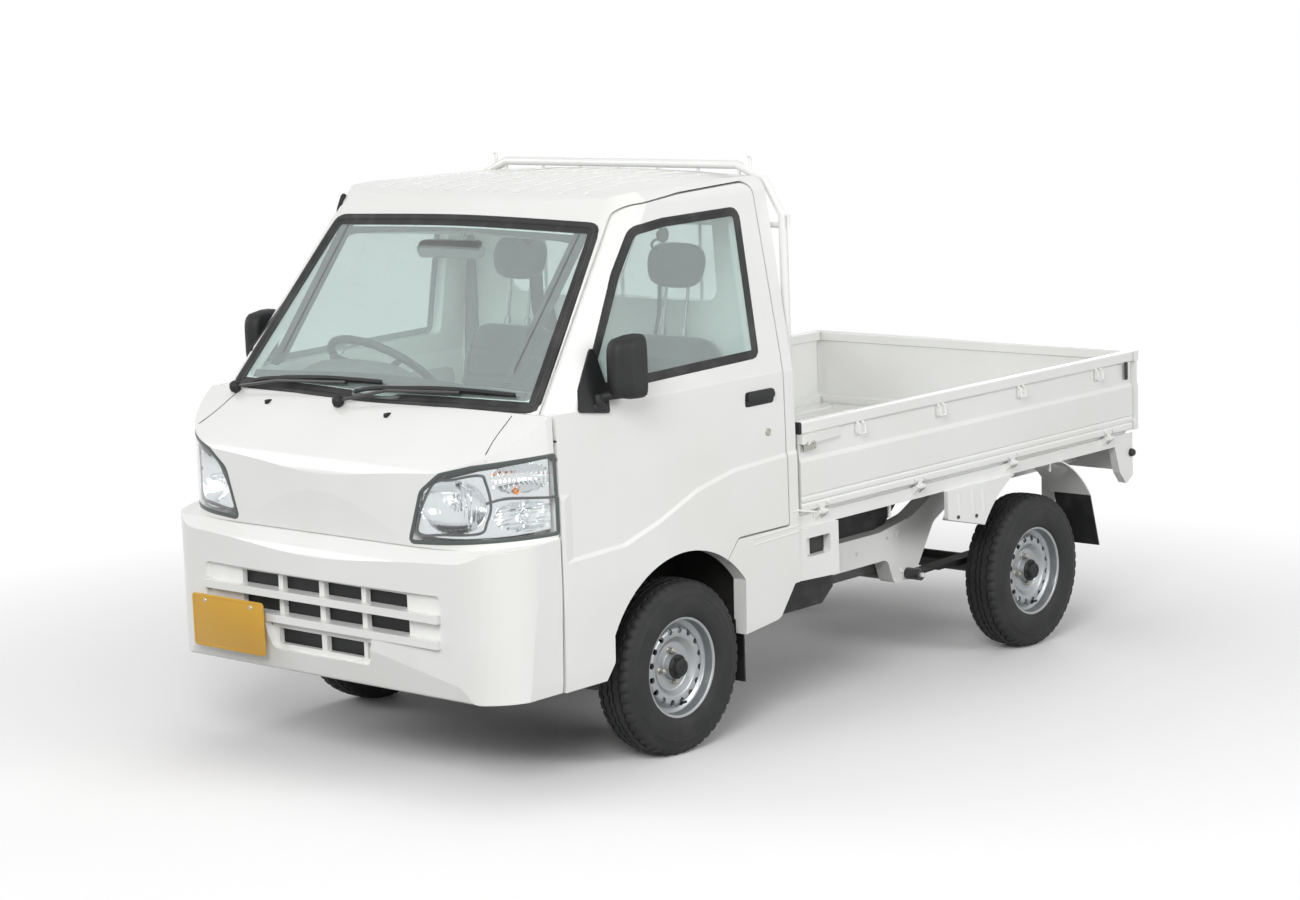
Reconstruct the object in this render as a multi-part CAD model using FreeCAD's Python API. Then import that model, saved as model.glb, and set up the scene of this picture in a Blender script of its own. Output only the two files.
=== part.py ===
import FreeCAD, Part
import math
import os
from FreeCAD import Vector

# A small cab-over pickup truck. Millimetres, X to the vehicle's left, Y to its rear, Z up.
# Every piece is drawn level, and the whole truck is then tipped by the rake at which it parks.

# Overall sizes
HALF = 737.5
WHEELBASE = 1900.0
TRACK = 1305.0
FRONT_AXLE_Y = -849.5
REAR_AXLE_Y = FRONT_AXLE_Y + WHEELBASE
RAKE = 1.0
RAKE_PIVOT_Z = 680.0
CENTRE_SHIFT = -9.8
SEAM = 0.3
GAP = 6.0

# Wheels
TYRE_R = 270.0
TYRE_W = 145.0
BEAD_R = 153.0
RIM_R = 166.0
RIM_W = 115.0
RIM_T = 5.0
DISC_OUT = 20.0
VENTS = 16
VENT_R = 9.5
VENT_PITCH_R = 112.0
HUB_R = 42.0
STUBS_R = 18.0
FIT = 0.3
FRONT_WHEEL_Z = 266.0
REAR_WHEEL_Z = FRONT_WHEEL_Z - WHEELBASE * math.tan(math.radians(RAKE))
WHEEL_X = TRACK / 2

# Cab shell
WALL = 50.0
CAB_BOTTOM = 300.0
CAB_REAR = -300.0
NOSE_Y = -1655.0
NOSE_CORNER_R = 280.0
BELT_Z = 1112.0
BELT_Y = -1412.0
SCREEN_SLOPE = 0.8077
SCREEN_BOW = 26.0
PILLAR_R = 105.0
GREENHOUSE_LEAN = 0.1567
CROWN_Z = 1746.0
EAVE_Z = 1714.0
ROOF_SPLIT_Z = 1645.0
ROOF_HALF = 545.0
BACK_EDGE = 585.0
DOOR_FRONT = -1385.0
DOOR_REAR = -351.0
DOOR_LOW = 629.0
DOOR_DEPTH = 58.0
ARCH_R = 363.0
ARCH_FRONT = -1172.0
ARCH_REAR = -566.0
SILL_Z = 436.0
FLANK_X = 732.0
SWAGE = ((-1335.0, 690.0), (-1115.0, 698.0), (-960.0, 742.0), (-780.0, 811.0), (-610.0, 845.0),
         (-250.0, 862.0))
SWAGE_H = 14.0
GLASS_T = 6.0
GLASS_INSET = 3.0
HOOD_Z = 742.0

# Door hinge: a pin inside the door's thickness, behind its front edge
HINGE_X = 716.0
HINGE_Y = -1374.0
HINGE_Z = (700.0, 1010.0)
HINGE_PIN_R = 5.0
HINGE_EYE_R = 9.0
HINGE_EYE_H = 27.0
HINGE_RELIEF_R = 29.0
LUG_H = 8.0
POST_X0 = 640.0
POST_X1 = 664.0
SCREEN_FLANGE = 35.0
LAMP_FIT = 0.6

# Load bed
BED_FRONT = -281.0
BED_REAR = 1697.0
GUARD_ARCH_R = 400.0
GUARD_LOW = 453.0
BED_HALF = 705.0
FLOOR_Z = 656.0
FLOOR_T = 16.0
RAIL_Z = 941.0
GATE_LOW = 652.0
GATE_OUT = 737.0
TAIL_T = 32.0
BEAM_LOW = 600.0
BEAM_OUT = 716.0
BEAM_T = 26.0
PIN_X = 735.0
PIN_Z = 642.0
GATE_HINGES = (-175.0, 350.0, 892.0, 1499.0)
TAIL_HINGES = (-560.0, 0.0, 560.0)
HEADBOARD_T = 20.0
HEADBOARD_IN = 10.0
POST_FOOT = (40.0, 50.0)
FLOOR_RIBS = 11
RIB_H = 6.0
HOOKS_Y = (30.0, 472.0, 945.0, 1433.0)

# Guard frame behind the cab
GUARD_Y = -268.0
GUARD_R = 14.0
GUARD_TOP = 1746.0

# Chassis
RAIL_X = 500.0
RAIL_T = 62.0
RAIL_LOW = 350.0
RAIL_H = 100.0
KICK_LOW = 520.0
KICK_TOP = 588.0
CROSS_T = 50.0
PINCH_X = 335.0
GEARBOX_Z = 420.0
SPRING_X = 530.0
SPRING_W = 60.0
EYE_Z = 285.0
EYE_FRONT = 581.0
EYE_REAR = 1519.0
AXLE_R = 32.0
HANGER_R = 8.0
EXHAUST_X = -300.0
EXHAUST_Z = 330.0
TAIL_PIPE_Z = 470.0
TAIL_PIPE_R = 18.0
ENGINE = (-220.0, 220.0, -760.0, -330.0, 255.0, 590.0)

# Bumper
BUMPER_Y = -1692.0
BUMPER_T = 24.0
BUMPER_LOW = 304.0
BUMPER_FLANGE = 40.0

# Steering
WHEEL_CENTRE = (-340.0, -1036.0, 1137.0)
WHEEL_AXIS = (0.0, 150.0, 190.0)
WHEEL_R = 182.0
HUB_H = 44.5
COLUMN_R = 30.0
COLUMN_LENGTH = 250.0
BALL_X = 600.0
BALL_Z = 190.0
BALL_R = 16.0
STRUT_TOP_X = 470.0
STRUT_TOP_Z = 640.0
STRUT_LENGTH = 444.0
WELL_X = 395.0
WELL_TOP = 640.0
WELL_T = 5.0
WELL_AHEAD = 331.0
WELL_BEHIND = 335.0
WELL_LOW = 330.0
FOOT_Z = 470.0
TOE_Y = -1560.0
LAMP_INNER = 372.0
BACK_HALF = 545.0
BACK_LOW = 600.0


def rounded(points, place):
    """Closed wire of straight edges; a corner given as (a, b, r) is rounded by an arc."""
    edges = []
    count = len(points)
    starts = []
    ends = []
    arcs = []
    for i in range(count):
        a = Vector(points[i - 1][0], points[i - 1][1], 0)
        b = Vector(points[i][0], points[i][1], 0)
        c = Vector(points[(i + 1) % count][0], points[(i + 1) % count][1], 0)
        radius = points[i][2] if len(points[i]) > 2 else 0
        into = (b - a).normalize()
        away = (c - b).normalize()
        turn = into.getAngle(away)
        if radius and turn > 1e-6:
            cut = radius * math.tan(turn / 2)
            bend = (away - into).normalize()
            starts.append(b - into * cut)
            ends.append(b + away * cut)
            arcs.append(b + bend * radius * (1 / math.cos(turn / 2) - 1))
        else:
            starts.append(b)
            ends.append(b)
            arcs.append(None)
    for i in range(count):
        if arcs[i]:
            edges.append(Part.Arc(place(starts[i]), place(arcs[i]), place(ends[i])).toShape())
        nxt = (i + 1) % count
        if (starts[nxt] - ends[i]).Length > 1e-6:
            edges.append(Part.makeLine(place(ends[i]), place(starts[nxt])))
    return Part.Wire(edges)


def face_on(axis, at, points):
    places = {"x": lambda p: Vector(at, p.x, p.y),
              "y": lambda p: Vector(p.x, at, p.y),
              "z": lambda p: Vector(p.x, p.y, at)}
    return Part.Face(rounded(points, places[axis]))


def prism(axis, low, high, points, inset=0.0):
    """A face across one axis, pushed along it from low to high."""
    face = face_on(axis, low, points)
    if inset:
        face = face.makeOffset2D(-inset)
    along = {"x": Vector(1, 0, 0), "y": Vector(0, 1, 0), "z": Vector(0, 0, 1)}[axis]
    return face.extrude(along * (high - low))


def box(x0, x1, y0, y1, z0, z1):
    return Part.makeBox(x1 - x0, y1 - y0, z1 - z0, Vector(x0, y0, z0))


def rod(start, end, radius):
    a = Vector(*start)
    b = Vector(*end)
    return Part.makeCylinder(radius, (b - a).Length, a, b - a)


def disc_x(x0, x1, y, z, radius):
    return Part.makeCylinder(radius, x1 - x0, Vector(x0, y, z), Vector(1, 0, 0))


def turned(centre, direction, profile):
    """A solid of revolution: profile points are (along, radius) or (along, radius, corner radius)."""
    face = face_on("y", 0, profile)
    solid = face.revolve(Vector(0, 0, 0), Vector(1, 0, 0), 360)
    solid.Placement = FreeCAD.Placement(Vector(*centre),
                                        FreeCAD.Rotation(Vector(1, 0, 0), Vector(*direction)))
    return solid


def fuse(shapes):
    shapes = list(shapes)
    joined = shapes[0].multiFuse(shapes[1:]) if len(shapes) > 1 else shapes[0]
    return joined.removeSplitter()


def mirrored(shape):
    return shape.mirror(Vector(0, 0, 0), Vector(1, 0, 0))


def both(shape):
    return [shape, mirrored(shape)]


def symmetric(points):
    """A half outline from low to high at +a, closed by its mirror image."""
    other = [(-p[0],) + tuple(p[1:]) for p in reversed(points) if abs(p[0]) > 1e-6]
    return list(points) + other


# Cab

def greenhouse_half(z):
    return HALF - 10.5 - (z - BELT_Z) * GREENHOUSE_LEAN


def cross_section(inset):
    """The cab's cross section, drawn through its whole length."""
    half = [(HALF - 13.5, CAB_BOTTOM - 60), (HALF - 6.5, 340), (HALF, 600), (HALF, 862),
            (HALF - 4.5, 880),
            (HALF - 8.5, BELT_Z), (greenhouse_half(EAVE_Z), EAVE_Z, 60), (0, CROWN_Z, 9000)]
    return prism("y", -1800, 0, symmetric(half), inset)


def hull(inset):
    """The cab's outer form, or the same form set in by a wall thickness."""
    across = cross_section(inset)
    header_z = 1703
    header_y = BELT_Y + (header_z - BELT_Z) * SCREEN_SLOPE - 4
    side = [(CAB_REAR, CAB_BOTTOM - 60), (NOSE_Y + 17, CAB_BOTTOM - 60), (NOSE_Y + 15, HOOD_Z),
            (NOSE_Y + 2, 892),
            (NOSE_Y, 962, 105), (BELT_Y, BELT_Z), (header_y, header_z, 150), (-480, CROWN_Z, 1200),
            (CAB_REAR, CROWN_Z - 12, 40)]
    along = prism("x", -HALF - 50, HALF + 50, side, inset)
    plan = symmetric([(0, NOSE_Y, 5000), (HALF, NOSE_Y + 28, NOSE_CORNER_R), (HALF, 100)])
    down = prism("z", 200, 1900, plan, inset)
    low_z = BELT_Z - 1
    high_z = 1850.0
    wires = []
    for z in (low_z, high_z):
        half = greenhouse_half(z) + 1 - inset
        front = BELT_Y - 10 + (z - BELT_Z) * SCREEN_SLOPE + inset * 1.286
        corner = max(PILLAR_R - inset, 20)
        outline = symmetric([(0, front, 9000), (half, front + SCREEN_BOW, corner), (half, 100)])
        wires.append(rounded(outline, lambda p, z=z: Vector(p.x, p.y, z)))
    upper = Part.makeLoft(wires, True, True)
    lower = box(-HALF - 50, HALF + 50, -1800, 100, 200, BELT_Z)
    keep = upper.fuse(lower)
    return across.common(along).common(down).common(keep)


def arch_cut(reach_in):
    """The open front wheel arch on the left side, from the skin inwards to reach_in."""
    round_part = disc_x(reach_in, HALF + 40, FRONT_AXLE_Y, FRONT_WHEEL_Z - 3, ARCH_R)
    round_part = round_part.common(box(reach_in, HALF + 40, ARCH_FRONT, ARCH_REAR, FRONT_WHEEL_Z - 3,
                                       700))
    low_part = prism("x", reach_in, HALF + 40,
                     [(ARCH_FRONT - 40, 230), (ARCH_FRONT - 36, 300), (ARCH_FRONT, 350, 30),
                      (ARCH_FRONT, 400), (ARCH_REAR, 400), (ARCH_REAR, 230)])
    return fuse([round_part, low_part])


def door_line(margin):
    """Side outline of the door, grown by a margin."""
    m = margin
    pillar = [(BELT_Y + 27 + (z - BELT_Z) * SCREEN_SLOPE, z) for z in (BELT_Z - 2, 1566)]
    return [(DOOR_FRONT - m, 200), (DOOR_FRONT - m, pillar[0][1]),
            (pillar[1][0] - m * 0.8, pillar[1][1] + m * 0.4),
            (-940 - m * 0.6, 1666 + m * 0.6, 110), (-700, 1689 + m), (DOOR_REAR - 14 + m, 1702 + m, 45),
            (DOOR_REAR + m, 1180),
            (DOOR_REAR + m, DOOR_LOW - m, 8), (ARCH_REAR - 32, DOOR_LOW - m, 25),
            (ARCH_REAR - 88, 566 - m), (ARCH_REAR - 154, 200)]


def flank_hollow():
    """The shallow hollow along the left flank, from the swage over the wheel up to the crease."""
    crease_z = 900.0
    inner = list(SWAGE) + [(SWAGE[-1][0], crease_z), (SWAGE[0][0], crease_z)]
    front_y = SWAGE[0][0] - 3 * SWAGE_H
    outer = [(front_y, SWAGE[0][1] - SWAGE_H)] + [(y, z - SWAGE_H) for y, z in SWAGE[1:]]
    outer += [(SWAGE[-1][0], crease_z), (front_y, crease_z)]
    wires = []
    for x, outline in ((FLANK_X, inner), (HALF + 1, outer)):
        wires.append(rounded(outline, lambda p, x=x: Vector(x, p.x, p.y)))
    return Part.makeLoft(wires, True, True)


def cab_parts():
    outer = hull(0)
    shell = outer.cut(hull(WALL))
    hollow = flank_hollow()
    shell = shell.cut(hollow).cut(mirrored(hollow))
    shell = shell.cut(box(-HALF + WALL, HALF - WALL, NOSE_Y + 60, CAB_REAR - WALL, CAB_BOTTOM - 100,
                          CAB_BOTTOM + 60))
    shell = shell.cut(box(-HALF - 50, HALF + 50, NOSE_Y - 50, CAB_REAR + 50, CAB_BOTTOM - 100,
                          CAB_BOTTOM))
    arch = arch_cut(HALF - WALL - 80)
    shell = shell.cut(arch).cut(mirrored(arch))
    sill = prism("x", -HALF - 50, HALF + 50,
                 [(ARCH_REAR - 20, 200), (ARCH_REAR - 20, 314), (-410, 334), (-393, 341, 10),
                                              (-322, SILL_Z, 10), (CAB_REAR + 60, SILL_Z),
                  (CAB_REAR + 60, 200)])
    shell = shell.cut(sill)
    front_region = box(-HALF - 50, HALF + 50, NOSE_Y - 50, DOOR_FRONT - GAP, HOOD_Z, BELT_Z)
    nose_cut = box(-HALF - 50, HALF + 50, NOSE_Y - 50, DOOR_FRONT - GAP, 200, HOOD_Z)
    seat = outer.cut(hull(GLASS_INSET + GLASS_T + SEAM))
    screen = screen_opening(0).common(seat).fuse(screen_opening(SCREEN_FLANGE))
    doors = prism("x", HALF - 200, HALF + 50, door_line(GAP))
    doors = doors.cut(cross_section(DOOR_DEPTH + GAP))
    body = shell.cut(nose_cut).cut(screen)
    front = body.common(front_region)
    front = front.cut(lamp_region(0)).cut(mirrored(lamp_region(0)))
    hinge_foot = Vector(HINGE_X, HINGE_Y, CAB_BOTTOM - 10)
    relief = Part.makeCylinder(HINGE_RELIEF_R, 900, hinge_foot)
    low_relief = Part.makeCylinder(HINGE_RELIEF_R, BELT_Z + GAP - hinge_foot.z, hinge_foot)
    front = front.cut(relief).cut(mirrored(relief))
    rest = body.cut(box(-HALF - 50, HALF + 50, NOSE_Y - 50, DOOR_FRONT - GAP, 200, BELT_Z))
    roof_region = box(-ROOF_HALF, ROOF_HALF, NOSE_Y, CAB_REAR + 50, ROOF_SPLIT_Z, 1900)
    roof = rest.common(roof_region)
    ribs = []
    for k in range(10):
        x = -450 + k * 100
        ribs.append(prism("y", -930, CAB_REAR - 60,
                          [(x - 22, 1700), (x - 14, CROWN_Z + 20), (x + 14, CROWN_Z + 20),
                           (x + 22, 1700)]))
    roof = roof.cut(hull(0).cut(hull(3)).common(Part.Compound(ribs)))
    roof = roof.cut(doors).cut(mirrored(doors))
    back_region = box(-BACK_EDGE, BACK_EDGE, CAB_REAR - WALL - 1, CAB_REAR + 50, 200, ROOF_SPLIT_Z)
    back = rest.common(back_region).cut(rear_window(0))
    back = back.cut(box(-BACK_HALF, BACK_HALF, CAB_REAR - WALL - 2, CAB_REAR + 60, 200, BACK_LOW))
    sides = rest.cut(roof_region).cut(back_region)
    side = sides.common(box(0, HALF + 50, NOSE_Y - 50, CAB_REAR + 50, 200, 1900)).cut(doors)
    side = fuse([side.cut(low_relief)] + hinge_lugs())
    door = shell.common(prism("x", HALF - WALL - 130, HALF + 50, door_line(0)))
    door = door.common(box(300, HALF + 50, NOSE_Y, 0, CAB_BOTTOM, 1900))
    door = door.cut(cross_section(DOOR_DEPTH)).cut(door_window(0))
    for z in HINGE_Z:
        door = door.cut(box(HINGE_X - 40, HINGE_X + 14, HINGE_Y - 40, HINGE_Y + 13, z - 30, z + 30))
        eye = rod((HINGE_X, HINGE_Y, z - HINGE_EYE_H / 2), (HINGE_X, HINGE_Y, z + HINGE_EYE_H / 2),
                  HINGE_EYE_R)
        web = box(HINGE_X - HINGE_EYE_R, HINGE_X + HINGE_EYE_R, HINGE_Y, HINGE_Y + 16,
                  z - HINGE_EYE_H / 2, z + HINGE_EYE_H / 2)
        bore = rod((HINGE_X, HINGE_Y, z - 30), (HINGE_X, HINGE_Y, z + 30), HINGE_PIN_R + 0.1)
        door = door.fuse(eye.fuse(web)).cut(bore)
    door = biggest(door.removeSplitter())
    pane_layer = hull(GLASS_INSET).cut(hull(GLASS_INSET + GLASS_T))
    post_zone = prism("x", HALF - 230, HALF + 50, door_line(GAP + 2))
    screen_glass = pane_layer.common(screen_opening(SEAM)).cut(post_zone).cut(mirrored(post_zone))
    screen_glass = biggest(screen_glass)
    rear_glass = biggest(pane_layer.common(rear_window(SEAM)))
    side_glass = biggest(pane_layer.common(door_window(SEAM)))
    lens = biggest(outer.cut(hull(4)).common(lamp_region(LAMP_FIT)))
    bowl = hull(4).cut(hull(75)).common(lamp_region(LAMP_FIT))
    main = lamp_cavity((470, -1640, 850), (-0.12, -1, 0.03), 78)
    turn = lamp_cavity((640, -1560, 905), (0.5, -1, 0.0), 50)
    lens = biggest(lens.cut(relief))
    post = box(POST_X0 - GAP, POST_X1 + GAP, HINGE_Y - 50 - GAP, 0, HOOD_Z, BELT_Z)
    bowl = biggest(bowl.cut(main).cut(turn).cut(relief).cut(post))
    return {"cab_front": [biggest(front)], "cab_roof": [biggest(roof)], "cab_back": [biggest(back)],
            "cab_side_left": [biggest(side)], "cab_side_right": [mirrored(biggest(side))],
            "door_left": [door], "door_right": [mirrored(door)],
            "cab_glass": [screen_glass, rear_glass],
            "door_glass_left": [side_glass], "door_glass_right": [mirrored(side_glass)],
            "headlamp_lenses": both(lens), "headlamp_bowls": both(bowl)}


def biggest(shape):
    solids = sorted(shape.Solids, key=lambda s: s.Volume)
    return solids[-1]


def lamp_cavity(centre, direction, radius):
    """A bowl-shaped hollow that opens along its direction."""
    ball = Part.makeSphere(radius, Vector(*centre))
    mouth = Part.makeCylinder(radius, 160, Vector(*centre), Vector(*direction))
    return ball.fuse(mouth)


def lamp_region(margin):
    """What a headlamp fills, as seen from the front, on the left side."""
    m = margin
    outline = [(372 + m, 752 + m, 12), (HALF + 60, 776 + m), (HALF + 60, 1012 - m), (600, 984 - m),
               (500 + m, 960 - m, 40), (424 + m, 905 - m, 40)]
    return prism("y", NOSE_Y - 100, DOOR_FRONT - GAP - 2 * m, outline)


def screen_opening(margin):
    """The windscreen's opening, square to the glass."""
    m = margin
    length = math.hypot(1, SCREEN_SLOPE)
    up = Vector(0, SCREEN_SLOPE / length, 1 / length)
    out = Vector(0, -1 / length, SCREEN_SLOPE / length)
    start = Vector(0, BELT_Y, BELT_Z)
    low = (BELT_Z - 3 - BELT_Z) * length
    top = (1628 - BELT_Z) * length

    def place(p):
        return start + Vector(p.x, 0, 0) + up * p.y - out * 160
    outline = symmetric([(0, low + m, 3000), (668 - m, low + 22 + m, 40), (574 - m, top - 6 - m, 55),
                         (0, top - m, 9000)])
    return Part.Face(rounded(outline, place)).extrude(out * 300)


def rear_window(margin):
    m = margin
    outline = symmetric([(470 - m, 1318 + m, 45), (455 - m, 1600 - m, 45)])
    return prism("y", CAB_REAR - 200, CAB_REAR + 60, outline)


def door_window(margin):
    m = margin
    outline = [(-1262 + m * 2, 1152 + m, 12), (-1043 + m, 1479 - m * 0.7), (-938 + m, 1605 - m, 70),
               (-800, 1620 - m),
               (-447 - m, 1627 - m, 32), (-457 - m, 1172 + m, 22)]
    return prism("x", HALF - 260, HALF + 60, outline)


def hinge_lugs():
    """The front post of one side, with the pins and lugs that carry its door."""
    seat = GLASS_INSET + GLASS_T + SEAM
    post = box(POST_X0, POST_X1, HINGE_Y - 50, HINGE_Y + 14, FOOT_Z + WELL_T, BELT_Z + 60)
    inside = hull(WALL + SEAM).fuse(box(0, POST_X1, DOOR_FRONT - GAP + SEAM, 0, FOOT_Z, BELT_Z))
    over = hull(seat).common(box(0, HALF, -1500, 0, BELT_Z, BELT_Z + 100))
    pieces = [post.common(inside.fuse(over))]
    for z in HINGE_Z:
        pieces.append(rod((HINGE_X, HINGE_Y, z - 22), (HINGE_X, HINGE_Y, z + 22), HINGE_PIN_R))
        for side in (-1, 1):
            base = z + side * 18 - LUG_H / 2
            pieces.append(prism("z", base, base + LUG_H,
                                [(HINGE_X + 7, HINGE_Y + 7, 6), (HINGE_X + 7, HINGE_Y - 7, 6),
                                                         (POST_X0 + 10, HINGE_Y - 7),
                                 (POST_X0 + 10, HINGE_Y + 7)]))
    return pieces


def cab_floor():
    """Footwell, toe board, seat deck and the two wheel wells, in sheet of one thickness."""
    t = WELL_T
    inner = HALF - WALL
    front = FRONT_AXLE_Y - WELL_AHEAD
    rear = FRONT_AXLE_Y + WELL_BEHIND
    foot = box(-inner, inner, TOE_Y - 4, front, FOOT_Z, FOOT_Z + t)
    toe = prism("x", -inner, inner,
                [(TOE_Y - 2, FOOT_Z), (TOE_Y - 37, HOOD_Z), (TOE_Y - 31, HOOD_Z), (TOE_Y + t, FOOT_Z)])
    riser = box(-inner, inner, front - t, front, FOOT_Z, WELL_TOP + t)
    deck = box(-inner, inner, front - t, CAB_REAR - WALL, WELL_TOP, WELL_TOP + t)
    side = [box(WELL_X - t, WELL_X, front - t, rear + t, WELL_LOW, WELL_TOP + t),
            box(WELL_X - t, inner, rear, rear + t, WELL_LOW, WELL_TOP + t),
            box(WELL_X - t, inner, front - t, front, WELL_LOW, FOOT_Z + 1)]
    floor = fuse([foot, toe, riser, deck] + side + [mirrored(p) for p in side])
    keep = fuse([hull(WALL + GAP), box(-LAMP_INNER, LAMP_INNER, NOSE_Y, TOE_Y, FOOT_Z - 10, HOOD_Z),
                 box(-BACK_HALF, BACK_HALF, CAB_REAR - WALL - 70, CAB_REAR - WALL, WELL_TOP - 10,
                     WELL_TOP + 20)])
    return [biggest(floor.common(keep))]


def bumper():
    def form(t):
        plan = symmetric([(0, BUMPER_Y + t, 6000), (HALF - t, BUMPER_Y + 36 + t, 185),
                          (HALF - t, DOOR_FRONT - GAP + 60)])
        down = prism("z", BUMPER_LOW - 40, HOOD_Z + 60, plan)
        low = BUMPER_LOW if t == 0 else BUMPER_LOW - 50
        top = HOOD_Z - 3 - t
        side = [(DOOR_FRONT - GAP, low), (DOOR_FRONT - GAP, top + 20), (NOSE_Y + 24 + t, top + 2),
                (BUMPER_Y + 6 + t, top - 50, 60),
                (BUMPER_Y + t, 470, 90), (BUMPER_Y + 40 + t, low, 12)]
        along = prism("x", -HALF - 50, HALF + 50, side)
        section = symmetric([(HALF - 13.5 - t, 250), (HALF - 6.5 - t, 340), (HALF - t, 600),
                             (HALF - t, 860)])
        across = prism("y", -1800, DOOR_FRONT - GAP, section)
        return down.common(along).common(across)
    outer = form(0)
    top_clear = hull(0).common(box(-HALF - 50, HALF + 50, -1800, DOOR_FRONT - GAP, HOOD_Z, 900))
    shell = outer.cut(form(BUMPER_T)).cut(top_clear).cut(hull(BUMPER_FLANGE))
    recess = prism("y", BUMPER_Y - 20, BUMPER_Y + 38,
                   [(-512, 478, 16), (512, 478, 16), (512, 612, 16), (-512, 612, 16)])
    low_recess = prism("y", BUMPER_Y - 20, BUMPER_Y + 38, symmetric([(212, 372, 26), (240, 478)]))
    backing = prism("y", BUMPER_Y + 36, BUMPER_Y + 56,
                    symmetric([(230, 365), (230, 470), (520, 474), (520, 618)]))
    shell = shell.fuse(backing.cut(form(0).cut(form(1)))).cut(recess).cut(low_recess)
    for (x0, x1, z0, z1) in grille_cells():
        shell = shell.cut(box(x0, x1, BUMPER_Y - 30, BUMPER_Y + 80, z0, z1))
    bars = [box(-510, 510, BUMPER_Y + 10, BUMPER_Y + 40, 533, 557),
            box(-510, 510, BUMPER_Y + 10, BUMPER_Y + 40, 458, 482)]
    relief = Part.makeCylinder(HINGE_RELIEF_R, 500, Vector(HINGE_X, HINGE_Y, CAB_BOTTOM - 10))
    shell = fuse([shell] + bars).cut(relief).cut(mirrored(relief))
    return [biggest(shell)]


def grille_cells():
    cells = []
    rows = [(557, 600, (-355, -192, -172, -11, 11, 172, 192, 365)),
            (482, 533, (-355, -192, -172, -11, 11, 172, 192, 370)),
            (388, 436, (-200, -172, -172, -11, 11, 172, 188, 205))]
    for low, high, xs in rows:
        for k in range(0, len(xs), 2):
            if xs[k + 1] - xs[k] > 5:
                cells.append((xs[k], xs[k + 1], low, high))
    return cells


# Load bed

def deck():
    """Floor with ribs, cross sills, side and rear beams."""
    top = box(-BED_HALF + 1, BED_HALF - 1, BED_FRONT + HEADBOARD_T + 1, BED_REAR - TAIL_T - GAP,
              FLOOR_Z - FLOOR_T, FLOOR_Z)
    pitch = 2 * (BED_HALF - 45) / FLOOR_RIBS
    grooves = []
    for k in range(FLOOR_RIBS):
        x = -BED_HALF + 45 + pitch * (k + 0.5)
        grooves.append(prism("y", BED_FRONT + 60, BED_REAR - 90,
                             [(x - 17, FLOOR_Z + 1), (x - 13, FLOOR_Z - RIB_H), (x + 13, FLOOR_Z - RIB_H),
                              (x + 17, FLOOR_Z + 1)]))
    inner = BED_HALF - HEADBOARD_IN
    seats = both(box(inner - POST_FOOT[0] - 1, inner + 1, BED_FRONT, BED_FRONT + POST_FOOT[1] + 1,
                     FLOOR_Z - 3, FLOOR_Z + 1))
    floor = top.cut(Part.Compound(grooves + seats))
    pieces = [floor]
    for s in (-1, 1):
        x0, x1 = sorted((s * (BEAM_OUT - BEAM_T), s * BEAM_OUT))
        pieces.append(box(x0, x1, BED_FRONT, BED_REAR - 12, BEAM_LOW, GATE_LOW - 12))
    for y in (-200.0, 130.0, 560.0, 800.0, 1290.0, 1560.0):
        pieces.append(box(-BEAM_OUT + 5, BEAM_OUT - 5, y, y + CROSS_T, BEAM_LOW, FLOOR_Z - FLOOR_T))
    pieces.append(box(-BEAM_OUT + 5, BEAM_OUT - 5, BED_REAR - 42, BED_REAR - 12, BEAM_LOW, GATE_LOW - 12))
    return [fuse(pieces + deck_hinge_lugs())]


def deck_hinge_lugs():
    pieces = []
    for y in GATE_HINGES:
        for s in (-1, 1):
            pieces.append(rod((s * PIN_X, y - 24, PIN_Z), (s * PIN_X, y + 24, PIN_Z), HINGE_PIN_R))
            for e in (-1, 1):
                y0 = y + e * 20 - LUG_H / 2
                outline = [(s * (BEAM_OUT - 4), PIN_Z - 30), (s * (PIN_X + 2), PIN_Z - 9, 6),
                           (s * (PIN_X + 8), PIN_Z, 4),
                           (s * PIN_X, PIN_Z + 8, 4), (s * (BEAM_OUT - 4), PIN_Z - 4)]
                pieces.append(prism("y", y0, y0 + LUG_H, outline))
    for x in TAIL_HINGES:
        pieces.append(rod((x - 24, BED_REAR - 2, PIN_Z), (x + 24, BED_REAR - 2, PIN_Z), HINGE_PIN_R))
        for e in (-1, 1):
            x0 = x + e * 20 - LUG_H / 2
            outline = [(BED_REAR - 20, PIN_Z - 30), (BED_REAR, PIN_Z - 9, 6), (BED_REAR + 6, PIN_Z, 4),
                       (BED_REAR - 2, PIN_Z + 8, 4),
                       (BED_REAR - 20, PIN_Z - 4)]
            pieces.append(prism("x", x0, x0 + LUG_H, outline))
    return pieces


def headboard():
    """Sheet across the front of the bed with a lip on top and a post at each end."""
    half = BED_HALF - HEADBOARD_IN
    wall = box(-half, half, BED_FRONT, BED_FRONT + HEADBOARD_T, FLOOR_Z - FLOOR_T, RAIL_Z)
    lip = box(-half, half, BED_FRONT, BED_FRONT + HEADBOARD_T + 14, RAIL_Z - 30, RAIL_Z)
    post = box(half - POST_FOOT[0], half, BED_FRONT, BED_FRONT + POST_FOOT[1], FLOOR_Z - 3 + SEAM, RAIL_Z)
    return [fuse([wall, lip] + both(post))]


def gate_section(low, high, inner, outer):
    """Cross section of a gate: rails at top and foot, a swage and two grooves in the skin."""
    return [(inner, low), (outer - 6, low), (outer, low + 6, 4), (outer, 674), (outer - 4, 680),
            (outer, 686),
            (outer, 696), (outer - 4, 702), (outer, 708), (outer, 812), (outer - 7, 826),
            (outer - 7, high - 42),
            (outer + 4, high - 34, 4), (outer + 4, high, 6), (inner - 3, high, 6), (inner - 3, high - 34),
            (inner + 14, high - 40),
            (inner + 14, low + 40), (inner, low + 30)]


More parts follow.
